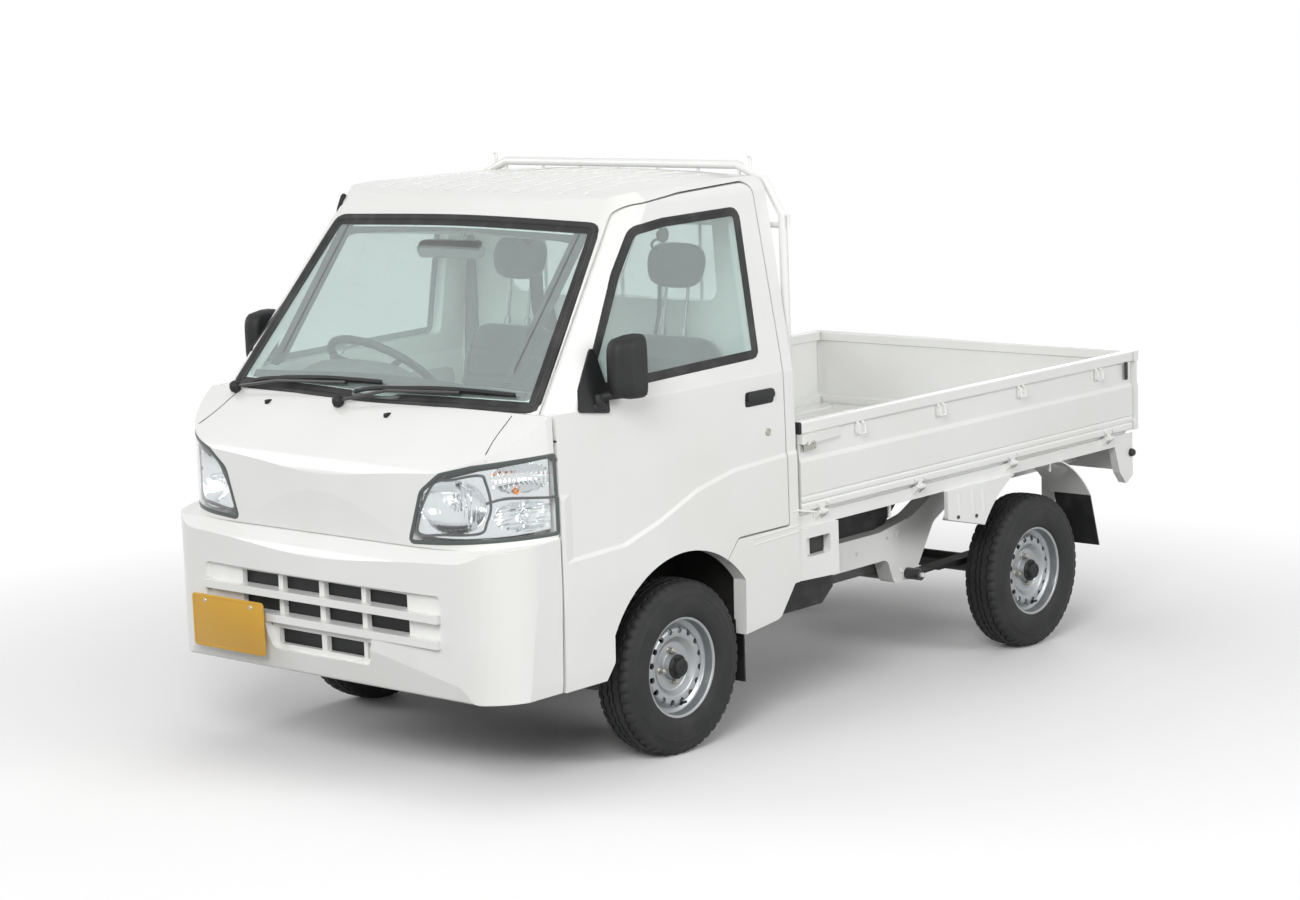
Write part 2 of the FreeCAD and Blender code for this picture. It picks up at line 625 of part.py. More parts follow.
def gate_eyes(solid, places, axis):
    for at in places:
        if axis == "y":
            notch = box(PIN_X - 26, PIN_X + 16, at - 30, at + 30, PIN_Z - 20, PIN_Z + 16)
            eye = rod((PIN_X, at - 12, PIN_Z), (PIN_X, at + 12, PIN_Z), HINGE_EYE_R)
            web = box(PIN_X - 9, PIN_X - 1, at - 12, at + 12, PIN_Z, PIN_Z + 26)
            bore = rod((PIN_X, at - 30, PIN_Z), (PIN_X, at + 30, PIN_Z), HINGE_PIN_R + 0.1)
        else:
            y = BED_REAR - 2
            notch = box(at - 30, at + 30, y - 26, y + 16, PIN_Z - 20, PIN_Z + 16)
            eye = rod((at - 12, y, PIN_Z), (at + 12, y, PIN_Z), HINGE_EYE_R)
            web = box(at - 12, at + 12, y - 9, y - 1, PIN_Z, PIN_Z + 26)
            bore = rod((at - 30, y, PIN_Z), (at + 30, y, PIN_Z), HINGE_PIN_R + 0.1)
        solid = solid.cut(notch).fuse(eye.fuse(web)).cut(bore)
    return solid


def side_gate():
    y0 = BED_FRONT + 3
    y1 = BED_REAR - TAIL_T - GAP
    gate = prism("y", y0, y1, gate_section(GATE_LOW, RAIL_Z, BED_HALF + 1, GATE_OUT - 4))
    gate = gate_eyes(gate, GATE_HINGES, "y")
    hooks = []
    for y in HOOKS_Y:
        arch = [rod((GATE_OUT - 8, y + e * 14, 905), (GATE_OUT + 7, y + e * 14, 896), 4) for e in (-1, 1)]
        arch += [rod((GATE_OUT + 7, y + e * 14, 896), (GATE_OUT + 9, y + e * 14, 866), 4) for e in (-1,
                                                                                                    1)]
        arch += [rod((GATE_OUT + 9, y - 14, 866), (GATE_OUT + 9, y + 14, 866), 4)]
        hooks += arch
    lever = prism("z", 872, 902,
                  [(GATE_OUT - 12, y0), (GATE_OUT + 8, y0, 4), (GATE_OUT + 8, y0 + 70, 8),
                   (GATE_OUT - 2, y0 + 200, 4),
                                  (GATE_OUT - 12, y0 + 200)])
    gate = fuse([gate, lever] + hooks)
    return biggest(gate)


def tailgate():
    y0 = BED_REAR - TAIL_T
    low, high = GATE_LOW, RAIL_Z
    outline = gate_section(low, high, y0, BED_REAR - 4)
    outline = [(p[0] if p[0] > y0 - 1 else y0,) + tuple(p[1:]) for p in outline]
    gate = prism("x", -GATE_OUT, GATE_OUT, outline)
    gate = gate_eyes(gate, TAIL_HINGES, "x")
    return [biggest(gate.removeSplitter())]


def guard_frame():
    r = GUARD_R
    pieces = []
    path = [(-684, RAIL_Z + 0.6), (-681, 1594), (-613, 1701), (-506, GUARD_TOP), (506, GUARD_TOP),
            (613, 1701), (681, 1594),
            (684, RAIL_Z + 0.6)]
    legs = [Vector(x, GUARD_Y, z) for x, z in path]
    for a, b in zip(legs[:-1], legs[1:]):
        pieces.append(Part.makeCylinder(r, (b - a).Length, a, b - a))
    for p in legs[1:-1]:
        pieces.append(Part.makeSphere(r, p))
    pieces.append(rod((-684, GUARD_Y, 1560), (684, GUARD_Y, 1560), 9))
    pieces.append(rod((-683, GUARD_Y, 1150), (683, GUARD_Y, 1150), 9))
    for x in (-510, -340, -170, 0, 170, 340, 510):
        pieces.append(rod((x, GUARD_Y, RAIL_Z), (x, GUARD_Y, GUARD_TOP), 6))
    for s in (-1, 1):
        pieces.append(rod((s * 556, GUARD_Y, GUARD_TOP - 22), (s * 556, GUARD_Y, 1772), 5))
        pieces.append(rod((s * 556, GUARD_Y, 1770), (s * 556, GUARD_Y - 14, 1776), 5))
        pieces.append(rod((s * 681, GUARD_Y, 1594), (s * 703, GUARD_Y, 1590), 5))
        pieces.append(rod((s * 703, GUARD_Y, 1592), (s * 703, GUARD_Y, 1556), 5))
    frame = fuse(pieces)
    return [biggest(frame)]


# Chassis and running gear

def rail_outline():
    t = RAIL_LOW + RAIL_H
    return [(-1640, RAIL_LOW + 20), (-1640, t - 20), (-1240, t - 20), (-1180, t), (430, t, 60),
            (620, t + 30, 120), (850, KICK_TOP, 60),
            (1650, KICK_TOP), (1650, KICK_LOW), (905, KICK_LOW, 120), (740, 440, 60), (620, 262, 20),
            (506, 262, 20), (470, RAIL_LOW, 30),
            (-1180, RAIL_LOW), (-1240, RAIL_LOW + 20)]


def chassis():
    """Two rails pinched in between the front wheels, and the cross members between them."""
    t = RAIL_LOW + RAIL_H
    rail = prism("x", RAIL_X - RAIL_T, RAIL_X, rail_outline())
    front = box(RAIL_X - RAIL_T - 1, RAIL_X + 1, FRONT_AXLE_Y - WELL_AHEAD - 8,
                FRONT_AXLE_Y + WELL_BEHIND + 8, 200, 700)
    pinch_out = WELL_X - WELL_T - SEAM
    pinched = box(PINCH_X, pinch_out, FRONT_AXLE_Y - 420, FRONT_AXLE_Y + 430, RAIL_LOW, t)
    links = [box(PINCH_X, RAIL_X, FRONT_AXLE_Y - 420, FRONT_AXLE_Y - WELL_AHEAD - 8, RAIL_LOW + 20,
                 t - 20),
             box(PINCH_X, RAIL_X, FRONT_AXLE_Y + WELL_BEHIND + 8, FRONT_AXLE_Y + 430, RAIL_LOW, t)]
    rail = biggest(fuse([rail.cut(front), pinched] + links + bed_mounts() + spring_hangers()))
    return both(rail) + cross_members()


def bed_mounts():
    """Blocks on one rail that carry the bed's cross sills."""
    inner = RAIL_X - RAIL_T
    low = [box(inner + 6, RAIL_X - 6, y, y + CROSS_T, RAIL_LOW + RAIL_H, BEAM_LOW) for y in (-200.0,
                                                                                             130.0)]
    high = [box(inner + 6, RAIL_X - 6, y, y + CROSS_T, KICK_TOP, BEAM_LOW) for y in (1290.0, 1560.0)]
    return low + high


def cross_members():
    """Members between the rails; one of the rear ones also holds the tail pipe."""
    inner = RAIL_X - RAIL_T - SEAM
    pieces = [box(-inner, inner, -1540, -1540 + CROSS_T, RAIL_LOW + 25, RAIL_LOW + RAIL_H - 25),
              box(-inner, inner, 40, 40 + CROSS_T, RAIL_LOW + 2, GEARBOX_Z - 54),
              box(-inner, inner, 520, 520 + CROSS_T, RAIL_LOW + 25, RAIL_LOW + RAIL_H - 5)]
    for y in (900.0, 1300.0, 1590.0):
        pieces.append(box(-inner, inner, y, y + CROSS_T, KICK_LOW + 5, KICK_TOP - 2))
    hanger = box(EXHAUST_X - 10, EXHAUST_X + 10, 1310, 1340, TAIL_PIPE_Z + TAIL_PIPE_R + SEAM,
                 KICK_LOW + 5)
    pieces[-2] = fuse([pieces[-2], hanger])
    return pieces


def engine_block():
    """Engine and gearbox as one plain piece, and the radiator ahead of them."""
    x0, x1, y0, y1, z0, z1 = ENGINE
    block = prism("x", x0, x1,
                  [(y0, z0 + 60), (y0, z1, 20), (y1 - 60, z1, 20), (y1, z1 - 90, 20), (y1, z0, 20),
                   (y0 + 60, z0, 20)])
    gearbox = turned((0, y1 - 5, GEARBOX_Z), (0, 1, 0),
                     [(0, 0), (0, 110), (120, 95), (260, 62), (430, 50), (430, 0)])
    return [fuse([block, gearbox])]


def front_suspension():
    """Lower arms with the cups of their ball joints."""
    y = FRONT_AXLE_Y
    arm = prism("z", BALL_Z - 26, BALL_Z - 10, [(BALL_X + 18, y - 20, 14), (BALL_X + 18, y + 20, 14),
                                                (PINCH_X - 10, y + 120, 20), (PINCH_X - 10, y - 60, 20)])
    riser = box(PINCH_X, PINCH_X + 45, y - 40, y + 60, BALL_Z - 20, RAIL_LOW)
    cup = Part.makeCylinder(BALL_R + 8, 20, Vector(BALL_X, y, BALL_Z - 26))
    arm = fuse([arm, riser, cup]).cut(Part.makeSphere(BALL_R + SEAM, Vector(BALL_X, y, BALL_Z)))
    return both(arm)


def knuckle(sign):
    """Upright, stub axle, ball joint, damper and spring that steer with one front wheel."""
    y = FRONT_AXLE_Y
    ball = Vector(BALL_X, y, BALL_Z)
    pin = (Vector(STRUT_TOP_X, y, STRUT_TOP_Z) - ball).normalize()
    neck = Part.makeCylinder(9, 50, ball, pin)
    top = ball + pin * STRUT_LENGTH
    socket = Part.makeSphere(BALL_R, ball)
    upright = prism("y", y - 28, y + 28,
                    [(BALL_X - 26, BALL_Z + 26), (BALL_X + 8, BALL_Z + 26),
                     (BALL_X - 6, FRONT_WHEEL_Z + 20),
                                          (BALL_X - 40, 350), (BALL_X - 72, 350),
                     (BALL_X - 54, BALL_Z + 40)])
    stub = disc_x(BALL_X - 30, WHEEL_X + DISC_OUT + 14, y, FRONT_WHEEL_Z, STUBS_R)
    backplate = disc_x(BALL_X + 2, BALL_X + 8, y, FRONT_WHEEL_Z, 74)
    low = ball + pin * 150
    tube = Part.makeCylinder(22, (top - low).Length, low, pin)
    along = pin
    coils = []
    start = low + along * 90
    span = (top - start).Length - 12
    turns = 5
    profile = [(0, 23)]
    for k in range(turns):
        a = span * k / turns
        b = span * (k + 0.5) / turns
        profile += [(a + 1, 46, 5), (b, 46, 5), (b + 3, 30), (span * (k + 1) / turns - 1, 30)]
    profile += [(span, 23)]
    spring = turned(tuple(start), tuple(along), profile + [(span, 20), (0, 20)])
    seat = Part.makeCylinder(52, 6, start - along * 6, along)
    solid = fuse([socket, neck, upright, stub, backplate, tube, seat, spring])
    solid = solid if sign > 0 else mirrored(solid)
    return [biggest(solid)]


def rear_axle():
    """Beam axle with drums, the two leaf springs it hangs on and the propeller shaft."""
    y, z = REAR_AXLE_Y, REAR_WHEEL_Z
    pieces = [disc_x(-WHEEL_X + 70, WHEEL_X - 70, y, z, AXLE_R)]
    pieces.append(turned((-110, y, z), (1, 0, 0),
                         [(0, 0), (0, 40), (40, 100, 20), (180, 100, 20), (220, 40), (220, 0)]))
    pieces.append(rod((0, y - 170, z + 6), (0, y, z), 45))
    bores = []
    for s in (-1, 1):
        x0, x1 = sorted((s * (WHEEL_X - 85), s * (WHEEL_X - 41)))
        pieces.append(disc_x(x0, x1, y, z, 110))
        x0, x1 = sorted((s * (WHEEL_X - 60), s * (WHEEL_X + DISC_OUT + 14)))
        pieces.append(disc_x(x0, x1, y, z, STUBS_R))
        a, b = sorted((s * (SPRING_X - SPRING_W / 2), s * (SPRING_X + SPRING_W / 2)))
        for k in range(4):
            reach = 1 - k * 0.22
            half = (EYE_REAR - EYE_FRONT) / 2 * reach
            z0 = z + AXLE_R + 8 - k * 8 + 8 * 3
            sag = (EYE_Z - z - AXLE_R - 30) * reach * reach
            leaf = [(y - half, z0 + sag), (y, z0, 700), (y + half, z0 + sag), (y + half, z0 + sag + 8),
                    (y, z0 + 8, 700), (y - half, z0 + sag + 8)]
            pieces.append(prism("x", a, b, leaf))
        pieces.append(box(a - 2, b + 2, y - 45, y + 45, z - AXLE_R - 6, z + AXLE_R + 8 + 8 * 4 + 4))
        for eye_y in (EYE_FRONT, EYE_REAR):
            pieces.append(disc_x(a, b, eye_y, EYE_Z, 20))
            bores.append(disc_x(a - 1, b + 1, eye_y, EYE_Z, HANGER_R + SEAM))
    axle = fuse(pieces).cut(Part.Compound(bores))
    axle = axle.cut(both(box(RAIL_X - 5, RAIL_X + SEAM, EYE_FRONT - 90, EYE_FRONT + 40, EYE_Z - 60,
                             EYE_Z + 200))[0])
    shaft = rod((0, ENGINE[3] + 430, GEARBOX_Z), (0, y - 160, z + 6), 26)
    shaft = shaft.cut(box(-100, 100, ENGINE[3], ENGINE[3] + 426, 300, 600))
    return [fuse([biggest(axle), biggest(shaft)])]


def spring_hangers():
    """Pins through one spring's eyes, the rear one on a hanging link."""
    out = SPRING_X + SPRING_W / 2 + 8
    front = disc_x(RAIL_X, out, EYE_FRONT, EYE_Z, HANGER_R)
    link = prism("x", RAIL_X - 60, RAIL_X - SEAM,
                 [(EYE_REAR - 22, EYE_Z - 20, 12), (EYE_REAR + 22, EYE_Z - 20, 12),
                  (EYE_REAR + 18, KICK_LOW), (EYE_REAR - 18, KICK_LOW)])
    pin = disc_x(RAIL_X - 60, out, EYE_REAR, EYE_Z, HANGER_R)
    return [front, link, pin]


def wheel(x_sign, y, z):
    """Pressed steel wheel with round vents, hub cap and wheel nuts' flat."""
    w = RIM_W / 2
    t = RIM_T
    outer = [(-w, RIM_R, 2), (-w + 9, RIM_R, 3), (-w + 10, BEAD_R - SEAM), (-w + 34, BEAD_R - SEAM, 6),
             (-w + 44, BEAD_R - 22, 6),
             (w - 44, BEAD_R - 22, 6), (w - 34, BEAD_R - SEAM, 6), (w - 10, BEAD_R - SEAM),
             (w - 9, RIM_R, 3), (w, RIM_R, 2),
             (w - 4, BEAD_R - t - 2, 4), (w - 36, BEAD_R - t - 3, 6), (w - 46, BEAD_R - 22 - t, 6),
             (-w + 46, BEAD_R - 22 - t, 6),
             (-w + 36, BEAD_R - t - 3, 6), (-w + 4, BEAD_R - t - 2, 4)]
    barrel = turned((0, 0, 0), (1, 0, 0), outer)
    d = DISC_OUT
    face = [(d - 26, BEAD_R - 24), (d - 10, BEAD_R - 24), (d + 12, 118, 14), (d + 10, 92, 12),
            (d - 8, 74, 8), (d - 6, HUB_R, 2),
            (d + 16, HUB_R - 6, 4), (d + 18, 26, 3), (d + 34, 24, 4), (d + 34, 0), (d + 26, 0),
            (d + 26, STUBS_R + FIT), (-34, STUBS_R + FIT),
            (-34, 48), (d - 14, 56), (d - 16, 78, 8), (d + 2, 96, 10), (d + 4, 116, 10), (d - 26, 128)]
    disc = turned((0, 0, 0), (1, 0, 0), face)
    hole = Part.makeCylinder(VENT_R, 80, Vector(d - 30, 0, VENT_PITCH_R), Vector(1, 0, 0))
    holes = []
    for k in range(VENTS):
        one = hole.copy()
        one.rotate(Vector(0, 0, 0), Vector(1, 0, 0), 360.0 * (k + 0.5) / VENTS)
        holes.append(one)
    rim = fuse([barrel, disc]).cut(Part.Compound(holes))
    rim.translate(Vector(WHEEL_X, y, z))
    rim = biggest(rim)
    return [rim if x_sign > 0 else mirrored(rim)]


def tyre(x_sign, y, z):
    """Plain tyre: beads in the rim's seats, round side walls and a slightly crowned tread."""
    w = TYRE_W / 2
    rw = RIM_W / 2
    half = [(rw - 11, BEAD_R), (rw - 9.5, RIM_R + 1), (rw + 2, RIM_R + 3), (w, RIM_R + 42, 60),
            (w - 12, TYRE_R - 5, 10)]
    profile = [(0, TYRE_R)] + [(a, r, c[0]) if c else (a, r) for a, r, *c in reversed(half)]
    profile += [(-p[0],) + tuple(p[1:]) for p in reversed(profile[1:])]
    ring = turned((WHEEL_X, y, z), (1, 0, 0), profile)
    return [ring if x_sign > 0 else mirrored(ring)]


# Rear mudguards, lamps and other pieces under the bed

def bed_skirts():
    """Rear mudguards, the lamp beam with its corner posts, and the boxes behind the cab."""
    y, z = REAR_AXLE_Y, REAR_WHEEL_Z
    outer = Part.makeCylinder(GUARD_ARCH_R, 175, Vector(555, y, z), Vector(1, 0, 0))
    inner = Part.makeCylinder(GUARD_ARCH_R - 5, 200, Vector(545, y, z), Vector(1, 0, 0))
    hoop = outer.cut(inner).common(box(555, 730, y - 450, y + 450, GUARD_LOW, BEAM_LOW))
    hoops = sorted(hoop.Solids, key=lambda s: s.CenterOfMass.y)
    plate = prism("x", 715, 730,
                  [(509, 504, 8), (509, BEAM_LOW), (y - 100, BEAM_LOW), (y - 200, GUARD_LOW + 20),
                                  (724, GUARD_LOW, 4)]).cut(inner)
    front = fuse([hoops[0], biggest(plate)])
    rear_y = BED_REAR - 12
    posts = both(prism("x", BEAM_OUT - 30, BEAM_OUT,
                       [(1565, BEAM_LOW), (rear_y, BEAM_LOW), (rear_y, 480), (1640, 454, 10),
                        (1600, 500, 20)]))
    beam = box(-BEAM_OUT + 30, BEAM_OUT - 30, rear_y - 30, rear_y - 6, 500, BEAM_LOW)
    boxes = prism("x", 640, HALF - 8,
                  [(CAB_REAR + 2, SILL_Z), (-90, 427), (-90, BEAM_LOW), (CAB_REAR + 2, BEAM_LOW)])
    pocket = prism("x", 700, HALF, [(-256, 506, 8), (-133, 506, 8), (-133, 566, 8), (-256, 566, 8)])
    return both(front) + both(hoops[-1]) + [fuse(posts + [beam])] + both(boxes.cut(pocket))


def splash_guards():
    """Flaps behind the wheels and the guards below the sills."""
    y, z = REAR_AXLE_Y, REAR_WHEEL_Z
    low = GUARD_LOW - z
    inner_y = y + math.sqrt((GUARD_ARCH_R - 5) ** 2 - low ** 2)
    outer_y = y + math.sqrt(GUARD_ARCH_R ** 2 - low ** 2)
    rear = prism("x", 575, 728,
                 [(inner_y, GUARD_LOW), (outer_y, GUARD_LOW), (outer_y + 54, 262), (inner_y + 54, 262)])
    well = FRONT_AXLE_Y + WELL_BEHIND
    front = box(585, 678, well - 5, well, 150, 400)
    guard = prism("x", 560, 575, [(-390, 330), (-330, 420), (70, 420), (70, 340), (10, 293), (-380, 293)])
    stays = [box(RAIL_X, 562, at, at + 30, 380, 400) for at in (-330, 10)]
    return both(rear) + both(front) + both(fuse([guard] + stays))


def tail_lamps():
    rear_y = BED_REAR - 18
    lamp = prism("y", rear_y, rear_y + 14,
                 [(500, 508, 10), (680, 508, 10), (680, 585, 10), (500, 585, 10)])
    return both(lamp)


def fuel_tank():
    edge = RAIL_X - RAIL_T
    return [prism("y", 215, 480, [(120, 300, 30), (edge, 300), (edge, 440), (120, 440, 20)])]


def exhaust():
    """Pipe from the engine, silencer and tail pipe, with a hanger at one cross member."""
    x, z = EXHAUST_X, EXHAUST_Z
    can = Part.makeCylinder(70, 420, Vector(x, 620, z + 40), Vector(0, 1, 0))
    pipe = [rod((ENGINE[0], -400, z), (x, -400, z), 20), rod((x, -400, z), (x, 640, z), 20),
            Part.makeSphere(23, Vector(x, -400, z)), box(x - 10, x + 10, 530, 560, z + 10, RAIL_LOW + 25)]
    knee = (x, 1200, TAIL_PIPE_Z)
    tail = [rod((x, 1030, z + 60), knee, TAIL_PIPE_R), rod(knee, (x, 1640, TAIL_PIPE_Z), TAIL_PIPE_R),
            Part.makeSphere(TAIL_PIPE_R + 3, Vector(*knee))]
    return [fuse([can] + pipe + tail)]


def radiator():
    return [fuse([box(-280, 280, -1630, -1600, 330, 600), box(-200, -160, -1605, -1540, 385, 400),
                  box(160, 200, -1605, -1540, 385, 400)])]


# Interior

def dashboard():
    """Moulded dash that meets the front wall, with the steering column."""
    shape = prism("x", -POST_X0 + 3, POST_X0 - 3,
                  [(NOSE_Y, 1060), (-1360, 1085, 30), (-1180, 1105, 50), (-1120, 1040, 40),
                   (-1190, 860, 40), (-1330, 820), (NOSE_Y, 900)])
    lamps = lamp_region(-4)
    shape = shape.common(hull(WALL)).cut(lamps).cut(mirrored(lamps))
    axis = Vector(*WHEEL_AXIS).normalize()
    top = Vector(*WHEEL_CENTRE) - axis * (HUB_H + 0.5)
    column = Part.makeCylinder(COLUMN_R, COLUMN_LENGTH, top, axis * -1)
    return [biggest(fuse([biggest(shape), column]))]


def steering_wheel():
    direction = Vector(*WHEEL_AXIS).normalize()
    centre = Vector(*WHEEL_CENTRE)
    ring = Part.makeTorus(WHEEL_R, 13, centre, direction)
    hub = Part.makeCylinder(48, HUB_H, centre - direction * HUB_H, direction)
    spokes = []
    across = Vector(1, 0, 0)
    other = direction.cross(across)
    for a in (90, 210, 330):
        ray = across * math.cos(math.radians(a)) + other * math.sin(math.radians(a))
        spokes.append(Part.makeCylinder(10, WHEEL_R - 2, centre - direction * 14, ray))
    return [fuse([ring, hub] + spokes)]


def seats():
    """Two cushions, two backs and two headrests."""
    pieces = []
    for x in (-340, 340):
        base = prism("x", x - 240, x + 240,
                     [(-900, WELL_TOP + WELL_T), (-900, 800, 30), (-860, 850, 40), (-440, 815, 30),
                                             (-400, WELL_TOP + WELL_T)])
        back = prism("x", x - 235, x + 235,
                     [(-500, 780), (-410, 780), (-372, 1340, 25), (-440, 1340, 30), (-515, 900, 30)])
        head = prism("x", x - 115, x + 115,
                     [(-430, 1380, 25), (-365, 1380, 25), (-362, 1525, 20), (-415, 1525, 20)])
        posts = [rod((x + e * 45, -400, 1335), (x + e * 45, -400, 1390), 6) for e in (-1, 1)]
        pieces.append(fuse([base, back, head] + posts))
    return pieces


def wipers():
    """Two arms and blades that lie along the foot of the windscreen."""
    pieces = []
    for x, y, z in ((-600.0, -1424.0, 1104.0), (-110.0, -1441.0, 1092.0)):
        base = Vector(x, y, z)
        out = Vector(0, -0.52, 0.85)
        pivot = Part.makeCylinder(13, 60, base - out * 34, out)
        start = base + out * 18
        knee = Vector(x + 180, BELT_Y - 2, BELT_Z + 34)
        tip = Vector(x + 470, BELT_Y + 16, BELT_Z + 44)
        arm = [rod(tuple(start), tuple(knee), 5), Part.makeSphere(5, knee),
               rod(tuple(knee), tuple(tip), 5)]
        pieces.append(biggest(fuse([pivot] + arm).cut(hull(0))))
    return pieces


def mirror_piece():
    """A door mirror: sail on the corner of the window, arm and housing."""
    layer = hull(-4).cut(hull(-SEAM))
    sail = biggest(layer.common(prism("x", 600, 800,
                                      [(-1290, 1108, 8), (-1162, 1090, 8), (-1158, 1160),
                                       (-1192, 1292, 8), (-1275, 1170)])))
    arm = rod((700, -1215, 1125), (800, -1150, 1150), 12).cut(hull(-SEAM))
    plan = [(752, -1208, 28), (812, -1216, 30), (838, -1150, 25), (832, -1094, 12), (758, -1094, 12)]
    front = [(750, 1135, 25), (840, 1135, 25), (840, 1316, 30), (750, 1316, 30)]
    head = prism("z", 1130, 1320, plan).common(prism("y", -1230, -1080, front))
    return biggest(fuse([sail, biggest(arm), head]))


def tipped(shape):
    """From the level drawing to the attitude in which the truck parks, tyres on the ground."""
    angle = math.radians(RAKE)
    drop = (RAKE_PIVOT_Z + (FRONT_WHEEL_Z - RAKE_PIVOT_Z) * math.cos(angle) + FRONT_AXLE_Y * math.sin(angle))
    moved = shape.copy()
    moved.rotate(Vector(0, 0, RAKE_PIVOT_Z), Vector(1, 0, 0), RAKE)
    moved.translate(Vector(0, CENTRE_SHIFT, TYRE_R - drop))
    return moved


def main():
    os.makedirs("parts", exist_ok=True)
    parts = cab_parts()
    gate = side_gate()
    mirror = mirror_piece()
    parts.update({
        "cab_floor": cab_floor(), "front_bumper": bumper(), "deck": deck(), "headboard": headboard(),
        "gate_left": [gate], "gate_right": [mirrored(gate)], "tailgate": tailgate(),
                  "guard_frame": guard_frame(),
        "chassis": chassis(), "engine_block": engine_block(),
        "front_suspension": front_suspension(), "knuckle_left": knuckle(1), "knuckle_right": knuckle(-1),
        "rear_axle": rear_axle(), "bed_skirts": bed_skirts(), "splash_guards": splash_guards(),
                  "tail_lamps": tail_lamps(),
        "fuel_tank": fuel_tank(), "exhaust": exhaust(), "radiator": radiator(),
        "dashboard": dashboard(), "steering_wheel": steering_wheel(), "seats": seats(),
                  "wipers": wipers(),
        "mirror_left": [mirror], "mirror_right": [mirrored(mirror)]})
    for name, sign, y, z in (("front_left", 1, FRONT_AXLE_Y, FRONT_WHEEL_Z),
                             ("front_right", -1, FRONT_AXLE_Y, FRONT_WHEEL_Z),
                             ("rear_left", 1, REAR_AXLE_Y, REAR_WHEEL_Z),
                             ("rear_right", -1, REAR_AXLE_Y, REAR_WHEEL_Z)):
        parts["rim_" + name] = wheel(sign, y, z)
        parts["tyre_" + name] = tyre(sign, y, z)
    bounds = FreeCAD.BoundBox()
    for name, solids in parts.items():
        shape = tipped(Part.Compound(solids) if len(solids) > 1 else solids[0])
        shape.exportStep("parts/" + name + ".step")
        bounds.add(shape.BoundBox)
        print(name, len(shape.Solids), round(shape.Volume / 1e6, 2), shape.isValid())
    print("bounds", bounds)


main()
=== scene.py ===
"""A small cab-over truck with a dropside bed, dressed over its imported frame.

Shapes are given in millimetres on a level truck, X to its left, Y to its rear, Z up,
and placed() tips them by the rake at which the frame stands.
"""
import math

import bmesh
import bpy
from mathutils import Matrix, Vector
from mathutils.bvhtree import BVHTree


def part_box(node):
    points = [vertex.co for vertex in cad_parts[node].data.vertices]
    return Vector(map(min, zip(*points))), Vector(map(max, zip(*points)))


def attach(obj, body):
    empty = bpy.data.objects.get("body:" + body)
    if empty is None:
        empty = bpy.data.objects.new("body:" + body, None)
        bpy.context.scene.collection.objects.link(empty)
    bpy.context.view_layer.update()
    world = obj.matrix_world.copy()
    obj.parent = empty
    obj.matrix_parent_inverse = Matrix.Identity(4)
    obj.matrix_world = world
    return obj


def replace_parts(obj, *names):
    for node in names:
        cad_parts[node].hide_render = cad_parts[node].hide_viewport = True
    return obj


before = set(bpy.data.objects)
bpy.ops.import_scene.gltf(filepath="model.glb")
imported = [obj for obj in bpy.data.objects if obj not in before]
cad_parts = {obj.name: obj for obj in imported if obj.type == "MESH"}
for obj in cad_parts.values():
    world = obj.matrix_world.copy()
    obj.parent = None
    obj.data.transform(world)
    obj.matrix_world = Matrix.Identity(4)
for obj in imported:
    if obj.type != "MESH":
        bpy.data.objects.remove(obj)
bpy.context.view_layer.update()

MM = 0.001
RAKE = math.radians(1.0)
# Turns the level truck by its rake and sets it on its wheels.
TIP = (Matrix.Translation((0, -9.8 * MM, 698.763 * MM)) @ Matrix.Rotation(RAKE, 4, "X")
       @ Matrix.Translation((0, 0, -680 * MM)))
# The foot of the windscreen's outer face, and how far it leans back for each millimetre up.
BELT_Z = 1112.0
BELT_Y = -1412.0
SCREEN_SLOPE = 0.8077
SCREEN_OUT = Vector((0, -1, SCREEN_SLOPE)).normalized()
WHEELS = ("front_left", "front_right", "rear_left", "rear_right")
SIDES = (("left", 1), ("right", -1))


# Meshes

def placed(point):
    """A level point in millimetres, as the frame's point in metres."""
    return TIP @ (Vector(point) * MM)


def piece(name, bm, body, material, level=True, crease=35.0):
    """Makes an object of a mesh drawn in millimetres and lets it ride on a body."""
    bmesh.ops.remove_doubles(bm, verts=bm.verts, dist=0.01)
    bmesh.ops.recalc_face_normals(bm, faces=bm.faces)
    scale = Matrix.Scale(MM, 4)
    bm.transform(TIP @ scale if level else scale)
    limit = math.radians(crease)
    for edge in bm.edges:
        edge.smooth = len(edge.link_faces) == 2 and edge.calc_face_angle(0) < limit
    for face in bm.faces:
        face.smooth = True
    mesh = bpy.data.meshes.new(name)
    bm.to_mesh(mesh)
    bm.free()
    made = bpy.data.objects.new(name, mesh)
    bpy.context.scene.collection.objects.link(made)
    made.data.materials.append(material)
    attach(made, body)
    return made


def lathe(bm, centre, axis, profile, steps):
    """Turns a profile of (along, radius) about an axis."""
    axis = Vector(axis).normalized()
    side = axis.orthogonal().normalized()
    other = axis.cross(side)
    rings = []
    for along, radius in profile:
        foot = Vector(centre) + axis * along
        if radius < 1e-6:
            rings.append([bm.verts.new(foot)])
            continue
        ring = []
        for k in range(steps):
            a = 2 * math.pi * k / steps
            spoke = side * math.cos(a) + other * math.sin(a)
            ring.append(bm.verts.new(foot + spoke * radius))
        rings.append(ring)
    for low, high in zip(rings, rings[1:]):
        for k in range(steps):
            m = (k + 1) % steps
            if len(low) == 1 and len(high) == 1:
                continue
            if len(low) == 1:
                bm.faces.new((low[0], high[k], high[m]))
            elif len(high) == 1:
                bm.faces.new((low[k], low[m], high[0]))
            else:
                bm.faces.new((low[k], low[m], high[m], high[k]))


